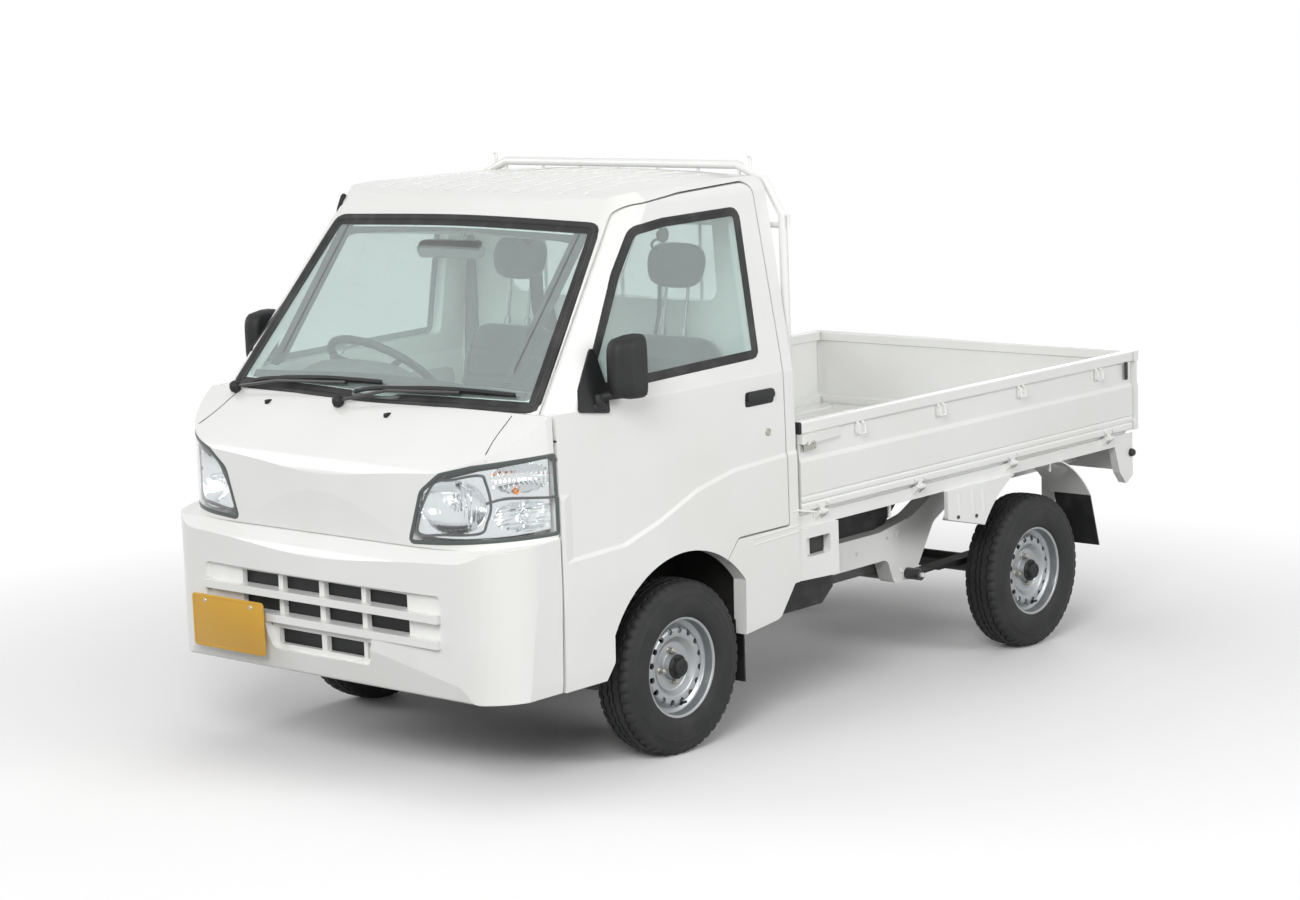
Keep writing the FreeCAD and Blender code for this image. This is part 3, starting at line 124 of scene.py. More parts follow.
def swept(bm, path, profile, normals=None, closed=False):
    """Carries a closed profile of (across, out) along a path; out follows the normals."""
    count = len(path)
    points = [Vector(p) for p in path]
    rings = []
    up = Vector((0, 0, 1))
    for k in range(count):
        if closed:
            along = (points[(k + 1) % count] - points[k - 1]).normalized()
        else:
            along = (points[min(k + 1, count - 1)] - points[max(k - 1, 0)]).normalized()
        if normals:
            out = Vector(normals[k])
        else:
            out = up if abs(along.dot(up)) < 0.95 else Vector((0, 1, 0))
        across = along.cross(out).normalized()
        out = across.cross(along).normalized()
        if not normals:
            up = out
        rings.append([bm.verts.new(points[k] + across * u + out * v) for u, v in profile])
    last = count if closed else count - 1
    size = len(profile)
    for k in range(last):
        low, high = rings[k], rings[(k + 1) % count]
        for j in range(size):
            n = (j + 1) % size
            bm.faces.new((low[j], low[n], high[n], high[j]))
    if not closed:
        bm.faces.new(rings[0])
        bm.faces.new(rings[-1])


def circle(radius, steps):
    """A round profile for swept()."""
    return [(radius * math.cos(2 * math.pi * k / steps), radius * math.sin(2 * math.pi * k / steps))
            for k in range(steps)]


def smooth_path(points, steps, closed=False):
    """A curve through the points, with steps between each two."""
    points = [Vector(p) for p in points]
    count = len(points)
    made = []
    for k in range(count if closed else count - 1):
        if closed:
            a, b, c, d = (points[(k + j) % count] for j in (-1, 0, 1, 2))
        else:
            a, b, c, d = (points[min(max(k + j, 0), count - 1)] for j in (-1, 0, 1, 2))
        for j in range(steps):
            t = j / steps
            made.append(0.5 * (2 * b + (c - a) * t + (2 * a - 5 * b + 4 * c - d) * t * t
                               + (3 * b - a - 3 * c + d) * t ** 3))
    if not closed:
        made.append(points[-1])
    return made


def block(bm, low, high, radius, steps=3):
    """A box with rounded edges."""
    made = bmesh.ops.create_cube(bm, size=1)
    size = Vector(high) - Vector(low)
    middle = (Vector(high) + Vector(low)) / 2
    for vert in made["verts"]:
        vert.co = Vector((vert.co.x * size.x, vert.co.y * size.y, vert.co.z * size.z)) + middle
    edges = dict.fromkeys(e for v in made["verts"] for e in v.link_edges)
    radius = min(radius, min(size) * 0.49)
    bmesh.ops.bevel(bm, geom=list(edges), offset=radius, segments=steps, profile=0.5, affect="EDGES")


def plate(bm, outline, axis, low, high, radius=0.0, steps=2):
    """A flat piece: an outline across one axis, pushed from low to high, with its rims rounded."""
    put = {"x": lambda p, h: (h, p[0], p[1]), "y": lambda p, h: (p[0], h, p[1]),
           "z": lambda p, h: (p[0], p[1], h)}[axis]
    ends = [[bm.verts.new(put(p, h)) for p in outline] for h in (low, high)]
    faces = [bm.faces.new(ends[0]), bm.faces.new(ends[1])]
    count = len(outline)
    for k in range(count):
        m = (k + 1) % count
        bm.faces.new((ends[0][k], ends[0][m], ends[1][m], ends[1][k]))
    if radius:
        rims = [e for f in faces for e in f.edges]
        bmesh.ops.bevel(bm, geom=rims, offset=radius, segments=steps, profile=0.5, affect="EDGES")


def corners(points, steps=5):
    """An outline of (a, b, radius) points with its corners rounded."""
    made = []
    count = len(points)
    for k in range(count):
        a, b, c = (Vector(points[j % count][:2]) for j in (k - 1, k, k + 1))
        radius = points[k][2] if len(points[k]) > 2 else 0
        if not radius:
            made.append(tuple(b))
            continue
        into, away = (b - a).normalized(), (c - b).normalized()
        cut = radius * math.tan(into.angle(away) / 2)
        start, end = b - into * cut, b + away * cut
        for j in range(steps + 1):
            t = j / steps
            made.append(tuple(start * (1 - t) ** 2 + b * 2 * t * (1 - t) + end * t * t))
    return made


def mirrored(bm):
    """Adds the mirror image of everything in the mesh, on the other side of the truck."""
    copy = bmesh.ops.duplicate(bm, geom=list(bm.verts) + list(bm.edges) + list(bm.faces))
    verts = [g for g in copy["geom"] if isinstance(g, bmesh.types.BMVert)]
    for vert in verts:
        vert.co.x = -vert.co.x
    bmesh.ops.reverse_faces(bm, faces=[g for g in copy["geom"] if isinstance(g, bmesh.types.BMFace)])


def flipped(bm, sign):
    """Moves the whole mesh to the side of the given sign."""
    if sign < 0:
        for vert in bm.verts:
            vert.co.x = -vert.co.x


# Finishes

# How far apart a wave texture's bands lie at a scale of 1.
WAVE_GAP = 2 * math.pi / 20


def linear(hex_colour):
    """An sRGB hex colour as the linear values that the shader takes."""
    parts = [int(hex_colour[k:k + 2], 16) / 255 for k in (1, 3, 5)]
    return [c / 12.92 if c <= 0.04045 else ((c + 0.055) / 1.055) ** 2.4 for c in parts] + [1.0]


def node(tree, kind, inputs=None, **settings):
    """Adds one node: settings are its own properties, inputs are values or links by name."""
    made = tree.nodes.new("ShaderNode" + kind)
    for name, value in settings.items():
        setattr(made, name, value)
    for name, value in (inputs or {}).items():
        if isinstance(value, bpy.types.NodeSocket):
            tree.links.new(value, made.inputs[name])
        else:
            made.inputs[name].default_value = value
    return made


def new_finish(name, colour, **sockets):
    """A material with one surface shader whose steady values sit on its own sockets."""
    material = bpy.data.materials.new(name)
    material.use_nodes = True
    tree = material.node_tree
    shader = tree.nodes["Principled BSDF"]
    shader.inputs["Base Color"].default_value = linear(colour)
    material.diffuse_color = linear(colour)
    for socket, value in sockets.items():
        shader.inputs[socket.replace("_", " ")].default_value = value
    return material, tree, shader


def grain(tree, size_mm, detail):
    """Noise whose clouds are about size_mm across on the object."""
    where = node(tree, "TexCoord").outputs["Object"]
    noise = node(tree, "TexNoise", {"Vector": where, "Scale": 1 / (size_mm * MM), "Detail": detail})
    return noise.outputs["Fac"]


def blend_colours(tree, shader, factor, low, high):
    """Lets the surface's colour run from low to high as the factor goes from 0 to 1."""
    mixed = node(tree, "Mix", {"Factor": factor, "A": linear(low), "B": linear(high)}, data_type="RGBA")
    tree.links.new(mixed.outputs["Result"], shader.inputs["Base Color"])


def raise_bumps(tree, shader, height, strength, depth_mm):
    """Lets the height stand out by up to depth_mm."""
    bump = node(tree, "Bump", {"Height": height, "Strength": strength, "Distance": depth_mm * MM})
    tree.links.new(bump.outputs["Normal"], shader.inputs["Normal"])


def stretch_range(tree, value, low, high, to_low, to_high):
    """Stretches the part of a value from low to high over another range."""
    return node(tree, "MapRange", {"Value": value, "From Min": low, "From Max": high,
                                   "To Min": to_low, "To Max": to_high}).outputs["Result"]


def baked_enamel(name, colour, dusty, rough=0.3):
    """Solid enamel sprayed on pressed steel: a hard clear gloss over an even white, with faint orange
    peel and a little road dust in broad clouds."""
    material, tree, shader = new_finish(name, colour, Roughness=rough, IOR=1.5, Coat_Weight=0.6,
                                        Coat_Roughness=0.06, Coat_IOR=1.5)
    dust = grain(tree, 420.0, 3.0)
    blend_colours(tree, shader, stretch_range(tree, dust, 0.35, 0.75, 0.0, 1.0), colour, dusty)
    # Real orange peel is near 2 mm; it is drawn at 7 mm so that it still shows.
    raise_bumps(tree, shader, grain(tree, 7.0, 1.0), 0.05, 0.1)
    return material


def moulded_plastic(name, colour, rough, depth_mm=0.15, faded=None):
    """Moulded plastic: an even colour with the fine leather-like grain of its mould."""
    material, tree, shader = new_finish(name, colour, Roughness=rough, IOR=1.49)
    # The real grain is near 0.9 mm; it is drawn at 2.7 mm so that it still shows.
    cells = node(tree, "TexVoronoi", {"Vector": node(tree, "TexCoord").outputs["Object"],
                                      "Scale": 1 / (2.7 * MM)})
    raise_bumps(tree, shader, cells.outputs["Distance"], 0.35, depth_mm)
    if faded:
        cloud = grain(tree, 160.0, 3.0)
        blend_colours(tree, shader, stretch_range(tree, cloud, 0.4, 0.8, 0.0, 1.0), colour, faded)
    return material


def rolled_metal(name, colour, rough, depth_mm=0.05, metallic=1.0):
    """Bare or silver-painted metal: bright, with fine 3 mm clouds that break up the reflection."""
    material, tree, shader = new_finish(name, colour, Roughness=rough, Metallic=metallic)
    clouds = grain(tree, 3.0, 3.0)
    tree.links.new(stretch_range(tree, clouds, 0.3, 0.7, rough * 0.8, min(rough * 1.3, 1.0)),
                   shader.inputs["Roughness"])
    raise_bumps(tree, shader, clouds, 0.2, depth_mm)
    return material


def clear_sheet(name, colour, ior=1.52, clear=1.0):
    """Float glass or clear plastic: lets light through with a slight tint and a sharp gloss."""
    material, tree, shader = new_finish(name, colour, Roughness=0.0, IOR=ior, Transmission_Weight=clear)
    path = node(tree, "LightPath")
    through = node(tree, "BsdfTransparent", {"Color": linear(colour)})
    mixed = node(tree, "MixShader", {0: path.outputs["Is Shadow Ray"], 1: shader.outputs["BSDF"],
                                     2: through.outputs["BSDF"]})
    tree.links.new(mixed.outputs["Shader"], tree.nodes["Material Output"].inputs["Surface"])
    return material


def vulcanised_rubber(name, colour, rough=0.62, dust="#3A3A38"):
    """Vulcanised rubber: near black, dull, with fine pores and a film of pale dust."""
    material, tree, shader = new_finish(name, colour, Roughness=rough, IOR=1.52)
    film = grain(tree, 90.0, 4.0)
    blend_colours(tree, shader, stretch_range(tree, film, 0.45, 0.8, 0.0, 1.0), colour, dust)
    raise_bumps(tree, shader, grain(tree, 1.6, 2.0), 0.25, 0.2)
    return material


def woven_cloth(name, thread, gap, cell_mm):
    """Knitted upholstery cloth: soft, without gloss, a small cell pattern over a fine knit, with
    the pale sheen that its fibre ends give at a grazing look."""
    material, tree, shader = new_finish(name, thread, Roughness=0.95, Sheen_Weight=0.35,
                                        Sheen_Roughness=0.5, IOR=1.5)
    where = node(tree, "TexCoord").outputs["Object"]
    cells = node(tree, "TexVoronoi", {"Vector": where, "Scale": 1 / (cell_mm * MM), "Randomness": 0.15})
    edge = stretch_range(tree, cells.outputs["Distance"], 0.25, 0.55, 0.0, 1.0)
    blend_colours(tree, shader, edge, thread, gap)
    # The real knit is near 0.8 mm; its slanted bands are drawn about 5 mm apart so that they show.
    knit = node(tree, "TexWave", {"Vector": where, "Scale": WAVE_GAP / (4.948 * MM), "Distortion": 1.5,
                                  "Detail": 1.0}, bands_direction="DIAGONAL")
    both = node(tree, "Math", {0: knit.outputs["Fac"], 1: edge}, operation="MULTIPLY_ADD")
    both.inputs[2].default_value = 0.2
    raise_bumps(tree, shader, both.outputs["Value"], 0.5, 0.4)
    return material


def lamp_acrylic(name, bands, rib_mm):
    """Moulded acrylic lamp glass in side-by-side colours, ribbed inside so that it glitters. Each
    band is a distance from the truck's middle in millimetres, and the colour that starts there."""
    material, tree, shader = new_finish(name, bands[0][1], Roughness=0.12, IOR=1.49)
    where = node(tree, "SeparateXYZ", {"Vector": node(tree, "TexCoord").outputs["Object"]}).outputs["X"]
    across = node(tree, "Math", {0: where}, operation="ABSOLUTE").outputs["Value"]
    colour = None
    for start, shade in bands[1:]:
        past = node(tree, "Math", {0: across, 1: start * MM}, operation="GREATER_THAN").outputs["Value"]
        before = colour or linear(bands[0][1])
        colour = node(tree, "Mix", {"Factor": past, "A": before, "B": linear(shade)},
                      data_type="RGBA").outputs["Result"]
    tree.links.new(colour, shader.inputs["Base Color"])
    ribs = node(tree, "TexWave", {"Vector": node(tree, "TexCoord").outputs["Object"],
                                  "Scale": WAVE_GAP / (rib_mm * MM)}, bands_direction="Z")
    raise_bumps(tree, shader, ribs.outputs["Fac"], 0.6, 0.8)
    return material


# The pressed body's clean cool white, and the softer one of the painted bumper.
WHITE = baked_enamel("white_enamel", "#F1F2F0", "#ECECE8")
WHITE_PLASTIC = baked_enamel("painted_polypropylene", "#F0F1EF", "#EAEAE6", rough=0.34)
# Panes with a faint green tint that still mirror the sky a little; a seventh of each pane is a pale
# diffuse veil, a painted reflection that lightens the view through it. And the clear lamp covers.
GLASS = clear_sheet("green_tinted_float_glass", "#E2ECEA", clear=0.86)
CLEAR = clear_sheet("clear_polycarbonate", "#F8FAFA", ior=1.58)
# Moulded trim, from the mirrors' deep black to the greys of the cab's lining.
BLACK = moulded_plastic("black_grained_polypropylene", "#101113", 0.6, faded="#17181A")
GREY = moulded_plastic("grey_grained_polypropylene", "#626664", 0.6, faded="#6D706D")
BEZEL = moulded_plastic("smoked_lamp_bezel", "#505856", 0.35, depth_mm=0.03)
DARK = moulded_plastic("dark_grey_polypropylene", "#2C2E30", 0.55)
# Window channels and stops, and the tyres' browner, dustier black.
RUBBER = vulcanised_rubber("vulcanised_rubber", "#101112")
TYRE = vulcanised_rubber("tyre_tread_rubber", "#161718", rough=0.7, dust="#2B2B2A")
# The works below: dull black enamel, rough grey iron and bare steel, and the wheels' silver.
CHASSIS_BLACK = baked_enamel("black_chassis_enamel", "#1A1B1C", "#2D2B28", rough=0.5)
CAST_IRON = rolled_metal("cast_iron", "#5A5A58", 0.6, metallic=0.7)
STEEL = rolled_metal("bright_steel", "#A9ABAA", 0.35)
ALLOY = rolled_metal("rolled_aluminium", "#9A9C9C", 0.45)
SILVER = rolled_metal("silver_wheel_enamel", "#A8ABAD", 0.38, metallic=0.75)
CHROME = rolled_metal("vacuum_plated_reflector", "#E8EAEC", 0.06, depth_mm=0.01)
# The real ribs are near 4 mm; they are drawn at 18 mm so that they still show.
TAIL_LENS = lamp_acrylic("tail_lamp_acrylic", ((500, "#D8D5CE"), (552, "#D2600F"), (610, "#8F0C12")),
                         17.81)
# An orange bulb that glows through the lamp's cover, and a bright silvered mirror.
AMBER = clear_sheet("amber_polycarbonate", "#F08A2C", ior=1.58)
MIRROR = rolled_metal("silvered_glass", "#DDE1E3", 0.02, depth_mm=0.005)
# The plate's even yellow enamel.
PLATE_YELLOW = baked_enamel("yellow_plate_enamel", "#D8A310", "#D09B0C", rough=0.4)
PALE_GREY = moulded_plastic("pale_grey_polypropylene", "#A9ADA9", 0.6)
# Dark grey knitted seat covers, and near-black belts with a tighter weave.
SEAT_CLOTH = woven_cloth("seat_tricot", "#454B4F", "#2F3437", 7.0)
WEBBING = woven_cloth("polyester_webbing", "#26282A", "#1B1C1E", 3.0)
# Nuts, latches and brackets with the warm grey of zinc plating.
ZINC = rolled_metal("zinc_plated_steel", "#B5B4AC", 0.32)

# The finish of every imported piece, by the material slot that it was given there.
SLOTS = {
    "white_paint": WHITE, "white_plastic": WHITE_PLASTIC, "green_glass": GLASS, "clear_glass": CLEAR,
    "lamp_chrome": CHROME, "black_paint": CHASSIS_BLACK, "engine_iron": CAST_IRON,
    "black_iron": CHASSIS_BLACK, "bare_steel": STEEL, "black_rubber": RUBBER, "black_plastic": BLACK,
    "grey_plastic": GREY, "dark_plastic": DARK, "radiator_alloy": ALLOY, "seat_fabric": DARK,
    "wheel_paint": SILVER, "tyre_rubber": TYRE, "red_plastic": TAIL_LENS,
}
for name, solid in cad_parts.items():
    used = solid.data.materials[0].name if solid.data.materials else ""
    for slot_name, material in SLOTS.items():
        if used.split(".")[0].endswith(slot_name):
            solid.data.materials[0] = material


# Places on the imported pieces

def skin_finder(name):
    """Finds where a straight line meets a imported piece, in level millimetres."""
    bm = bmesh.new()
    bm.from_mesh(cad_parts[name].data)
    bm.transform(Matrix.Scale(1 / MM, 4) @ TIP.inverted())
    tree = BVHTree.FromBMesh(bm)
    bm.free()
    return tree


SKINS = {name: skin_finder(name) for name in (
    "cab_glass", "headlamp_lenses", "cab_side_left", "cab_side_right", "cab_front", "door_left",
    "mirror_left", "bed_skirts", "chassis")}


def touch(name, start, direction, away=0.0):
    """The point where a line from start first meets a piece, moved back towards start."""
    direction = Vector(direction).normalized()
    hit = SKINS[name].ray_cast(Vector(start), direction)
    return (hit[0] if hit[0] else Vector(start)) - direction * away


# Window rubbers

def glass_edge(name, pane_side, facing=0.7, half=0):
    """The edge of a pane's outer face as points in millimetres with the face's normals."""
    bm = bmesh.new()
    bm.from_mesh(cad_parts[name].data)
    bm.transform(Matrix.Scale(1 / MM, 4))
    bmesh.ops.remove_doubles(bm, verts=bm.verts, dist=0.02)
    outward = Vector(pane_side).normalized()
    # Kept in the mesh's own order, so that the edge starts at the same place each time.
    outer = dict.fromkeys(f for f in bm.faces
                          if f.normal.dot(outward) > facing and f.calc_center_median().x * half >= 0)
    rim = {}
    for face in outer:
        for edge in face.edges:
            if sum(f in outer for f in edge.link_faces) == 1:
                for vert in edge.verts:
                    rim.setdefault(vert, []).append(edge)
    loops = []
    left = dict.fromkeys(rim)
    while left:
        vert = next(iter(left))
        del left[vert]
        loop = [vert]
        while True:
            following = [e.other_vert(vert) for e in rim[vert] if e.other_vert(vert) in left]
            if not following:
                break
            vert = following[0]
            del left[vert]
            loop.append(vert)
        loops.append(loop)
    loop = max(loops, key=len)
    found = []
    for vert in loop:
        normals = [f.normal for f in vert.link_faces if f in outer]
        normal = sum(normals, Vector()).normalized()
        if not found or (vert.co - found[-1][0]).length > 3.0:
            found.append((vert.co.copy(), normal))
    bm.free()
    return found


def even_loop(found, spacing=14.0):
    """The same closed edge with points at an even spacing."""
    count = len(found)
    made = []
    carry = 0.0
    for k in range(count):
        (a, n), (b, m) = found[k], found[(k + 1) % count]
        length = (b - a).length
        while carry < length:
            t = carry / length
            made.append((a.lerp(b, t), n.lerp(m, t).normalized()))
            carry += spacing
        carry -= length
    return made


def around(loop):
    """Turns the loop so that its inward side is the profile's positive side."""
    middle = sum((p for p, n in loop), Vector()) / len(loop)
    inward = sum((q - p).cross(n).dot(middle - p) for (p, n), (q, _) in zip(loop, loop[1:]))
    return loop if inward > 0 else list(reversed(loop))


def window_rubber(name, pane, side, profile, body):
    """A rubber channel round a pane, from its profile of (inward, out) points."""
    loop = around(even_loop(glass_edge(pane, side)))
    bm = bmesh.new()
    swept(bm, [p for p, n in loop], profile, [n for p, n in loop], closed=True)
    piece(name, bm, body, RUBBER, level=False, crease=50)


SCREEN_RUBBER = [(-9, 3.3), (-7, 6.0), (2, 7.0), (9, 5.0), (12, 1.2), (30, 0.8), (30, 0.2), (-9, 0.2)]
DOOR_RUBBER = [(-6, 3.3), (-4, 5.0), (4, 5.0), (8, 2.2), (22, 1.2), (22, 0.2), (-6, 0.2)]
window_rubber("windscreen_rubber", "cab_glass", (0, -0.78, 0.62), SCREEN_RUBBER, "root")
window_rubber("rear_window_rubber", "cab_glass", (0, 1, 0), SCREEN_RUBBER, "root")
for side, sign in SIDES:
    window_rubber("door_glass_rubber_" + side, "door_glass_" + side, (sign, 0, 0.1), DOOR_RUBBER,
                  "door_" + side)


# Wheels

BEAD_R = 153.0
TYRE_HALF = 70.35
DISC_OUT = 20.0
TREAD_STEPS = 192


def tyre(corner):
    """A van tyre with three zigzag grooves, toothed shoulders and a plain sidewall."""
    low, high = (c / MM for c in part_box("tyre_" + corner))
    middle = (low + high) / 2
    half = (high.x - low.x) / 2
    sign = 1 if corner.endswith("left") else -1
    side = [(55, BEAD_R + 1), (60, 158), (66, 168), (68.5, 182), (70, 200), (69.6, 214), (68.6, 219),
            (69.4, 221), (69.2, 223), (67.6, 225), (65, 236), (62.6, 244), (63.2, 246), (62.4, 248)]
    crown = [(60, 256), (56, 262), (50, 266.2), (38, 268.2), (36.5, 262), (32.5, 262), (31, 268.8),
             (18, 269.6), (12.5, 269.8), (11, 263), (7, 263), (5.5, 270), (0, 270)]
    ratio = half / TYRE_HALF
    right = [(-a * ratio, r) for a, r in side + crown]
    left = [(a * ratio, r) for a, r in reversed(side + crown[:-1])]
    profile = right + left
    bm = bmesh.new()
    rings = []
    for k in range(TREAD_STEPS):
        angle = 2 * math.pi * k / TREAD_STEPS
        phase = k % 4
        ring = []
        for a, r in profile:
            shift = 0.0
            reach = abs(a) / ratio
            if 248 < r:
                if 3 < reach < 42:
                    shift = (1.6 if phase in (0, 1) else -1.6) * (1 if a > 0 else -1)
                if reach >= 38 and r > 250 and phase == 0:
                    r -= 5.5
                if reach < 38 and r > 266 and phase == 2:
                    r -= 2.2
            along = a + shift
            ring.append(bm.verts.new((middle.x + along, middle.y + math.cos(angle) * r,
                                      middle.z + math.sin(angle) * r)))
        rings.append(ring)
    size = len(profile)
    for k in range(TREAD_STEPS):
        near, far = rings[k], rings[(k + 1) % TREAD_STEPS]
        for j in range(size):
            n = (j + 1) % size
            bm.faces.new((near[j], near[n], far[n], far[j]))
    made = piece("treaded_tyre_" + corner, bm, "wheel_" + corner, TYRE,
                 level=False, crease=28)
    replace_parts(made, "tyre_" + corner)
    return sign, middle


def wheel_fittings(corner, sign, middle):
    """Four wheel nuts, the dark grease cap and the valve."""
    face = middle.x + sign * (DISC_OUT - 8)
    bm = bmesh.new()
    for k in range(4):
        a = math.radians(90 * k + 8)
        foot = (face - sign * 4, middle.y + math.cos(a) * 50, middle.z + math.sin(a) * 50)
        lathe(bm, foot, (sign, 0, 0), [(0, 0), (0, 14), (3, 14.5), (6, 12.5), (6, 9.2)], 24)
        lathe(bm, foot, (sign, 0, 0), [(4, 0), (4, 10.5), (17, 10.5), (20, 8.6), (21, 6), (21, 5.5)], 6)
        lathe(bm, foot, (sign, 0, 0), [(15, 0), (15, 5.4), (24, 5.4), (25.5, 4), (25.5, 0)], 16)
    piece("wheel_nuts_" + corner, bm, "wheel_" + corner, ZINC, level=False)
    bm = bmesh.new()
    lathe(bm, (middle.x + sign * (DISC_OUT + 14), middle.y, middle.z), (sign, 0, 0),
          [(0, 24.4), (0, 37.5), (4, 38), (7, 35), (9, 29), (19, 27.5), (22, 26), (23.5, 23), (23.5, 16),
           (21.5, 14.5), (21.5, 5), (22.5, 4), (22.5, 0)], 40)
    for k in range(6):
        a = math.radians(60 * k)
        y, z = middle.y + math.cos(a) * 31, middle.z + math.sin(a) * 31
        lathe(bm, (middle.x + sign * (DISC_OUT + 20), y, z), (sign, 0, 0),
              [(0, 0), (0, 4.2), (5, 4), (6, 2.6), (6, 0)], 12)
    piece("grease_cap_" + corner, bm, "wheel_" + corner, BLACK, level=False)
    bm = bmesh.new()
    a = math.radians(-78)
    start = Vector((middle.x + sign * 22, middle.y + math.cos(a) * 124, middle.z + math.sin(a) * 124))
    lean = Vector((sign * 0.9, -math.cos(a) * 0.35, -math.sin(a) * 0.35))
    lathe(bm, start, lean, [(0, 0), (0, 7), (3, 7), (5, 4.6), (18, 3.8), (18, 3.2), (19, 3.9), (27, 3.9),
                            (28, 3.2), (28, 0)], 14)
    piece("tyre_valve_" + corner, bm, "wheel_" + corner, RUBBER, level=False)


for corner in WHEELS:
    wheel_fittings(corner, *tyre(corner))


# Headlamps

# The lamp's inner lower corner in plan, the way it runs round the truck's corner, and outwards.
LAMP_FOOT = Vector((372.0, -1650.0, 0.0))
LAMP_ALONG = Vector((0.809, 0.588, 0.0))
LAMP_OUT = Vector((0.588, -0.809, 0.0))
# The lens's upper edge as (distance along the lamp, height), and the reflector's two ends.
LAMP_TOP = ((0, 778), (14, 850), (45, 902), (90, 935), (150, 958), (230, 978), (450, 1006))
LAMP_NEAR, LAMP_FAR = 8, 420


def edge_height(u):
    """Height of the lamp's upper edge at a distance along the lamp."""
    for (a, low), (b, high) in zip(LAMP_TOP, LAMP_TOP[1:]):
        if u <= b:
            return low + (high - low) * max(u - a, 0) / (b - a)
    return LAMP_TOP[-1][1]


def lamp_hollow(u, v):
    """How deep the reflector lies behind the lens; v is the height over the lamp's foot."""
    deep = 13.0
    r = math.hypot((u - 148) / 104, (v - 92) / 80)
    if r < 1:
        deep += 54 * (1 - r ** 2.4) + 1.3 * math.cos(u * 0.42) * (1 - r)
    r = math.hypot((u - 345) / 84, (v - 172) / 44)
    if r < 1:
        deep += 40 * (1 - r ** 2) + 1.2 * math.cos(u * 0.5)
    r = math.hypot((u - 352) / 88, (v - 62) / 44)
    if r < 1:
        deep += 34 * (1 - r ** 2) + 1.4 * math.cos(v * 0.6)
    return deep


def headlamps():
    """Reflectors with their bulbs and black frames, and the gasket round each lens."""
    def behind(u, z, deep):
        base = LAMP_FOOT + LAMP_ALONG * u + Vector((0, 0, z))
        front = SKINS["headlamp_lenses"].ray_cast(base + LAMP_OUT * 300, -LAMP_OUT, 400)[0]
        return front - LAMP_OUT * deep if front else None

    bm = bmesh.new()
    grid = {}
    columns, rows = 96, 44
    for i in range(columns + 1):
        u = LAMP_NEAR + (LAMP_FAR - LAMP_NEAR) * i / columns
        low, high = 784 - 10 * min(u / 100, 1) + max(u - 250, 0) * 0.09, edge_height(u) - 9
        for j in range(rows + 1):
            z = low + (high - low) * j / rows
            point = behind(u, z, lamp_hollow(u, z - 772))
            if point:
                grid[i, j] = bm.verts.new(point)
    for i in range(columns):
        for j in range(rows):
            cell = [grid.get(key) for key in ((i, j), (i + 1, j), (i + 1, j + 1), (i, j + 1))]
            if all(cell):
                bm.faces.new(cell)
    back = bmesh.ops.extrude_face_region(bm, geom=list(bm.faces))
    for vert in (g for g in back["geom"] if isinstance(g, bmesh.types.BMVert)):
        vert.co -= LAMP_OUT * 2.5
    mirrored(bm)
    bowls = piece("lamp_reflectors", bm, "root", CHROME, crease=24)
    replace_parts(bowls, "headlamp_bowls")

    bm = bmesh.new()
    frame_lines = ([(30, 786), (22, 840), (44, 893), (88, 925), (150, 944), (232, 958), (250, 935),
                    (262, 870), (248, 820), (226, 790), (120, 784)],
                   [(248, 876), (300, 888), (360, 886), (438, 878)])
    for k, line in enumerate(frame_lines):
        path = smooth_path([p for p in (behind(u, z, 9.0) for u, z in line) if p], 5, closed=k == 0)
        swept(bm, path, [(-4, -7), (-3.4, 2), (3.4, 2), (4, -7)], [LAMP_OUT] * len(path), closed=k == 0)
    mirrored(bm)
    piece("lamp_frames", bm, "root", DARK)

    bm = bmesh.new()
    for u, z, deep, size in ((148, 864, 58, 1.0), (352, 834, 42, 0.8)):
        foot = behind(u, z, deep)
        lathe(bm, foot, LAMP_OUT, [(d * size, r * size) for d, r in (
            (0, 0), (0, 19), (4, 19), (6, 12), (14, 11), (16, 9), (34, 9), (38, 7), (40, 0))], 24)
    mirrored(bm)
    piece("headlamp_bulbs", bm, "root", CLEAR)
    bm = bmesh.new()
    foot = behind(330, 905, 44)
    lathe(bm, foot, LAMP_OUT, [(0, 0), (0, 15), (5, 15), (7, 10), (12, 10.5), (20, 12.5), (27, 11),
                               (31, 6), (32, 0)], 24)
    mirrored(bm)
    piece("turn_signal_bulbs", bm, "root", AMBER)

    for side, sign in SIDES:
        loop = glass_edge("headlamp_lenses", (LAMP_OUT.x * sign, LAMP_OUT.y, 0), 0.4, sign)
        loop = around(even_loop(loop, 9.0))
        bm = bmesh.new()
        swept(bm, [p for p, n in loop],
              [(-5, -2), (-4.5, 1.0), (-1, 1.8), (4, 1.4), (8, 0.6), (8, -1), (0, -3)],
              [n for p, n in loop], closed=True)
        piece("lamp_gasket_" + side, bm, "root", BEZEL, level=False, crease=50)


headlamps()


# Outside fittings

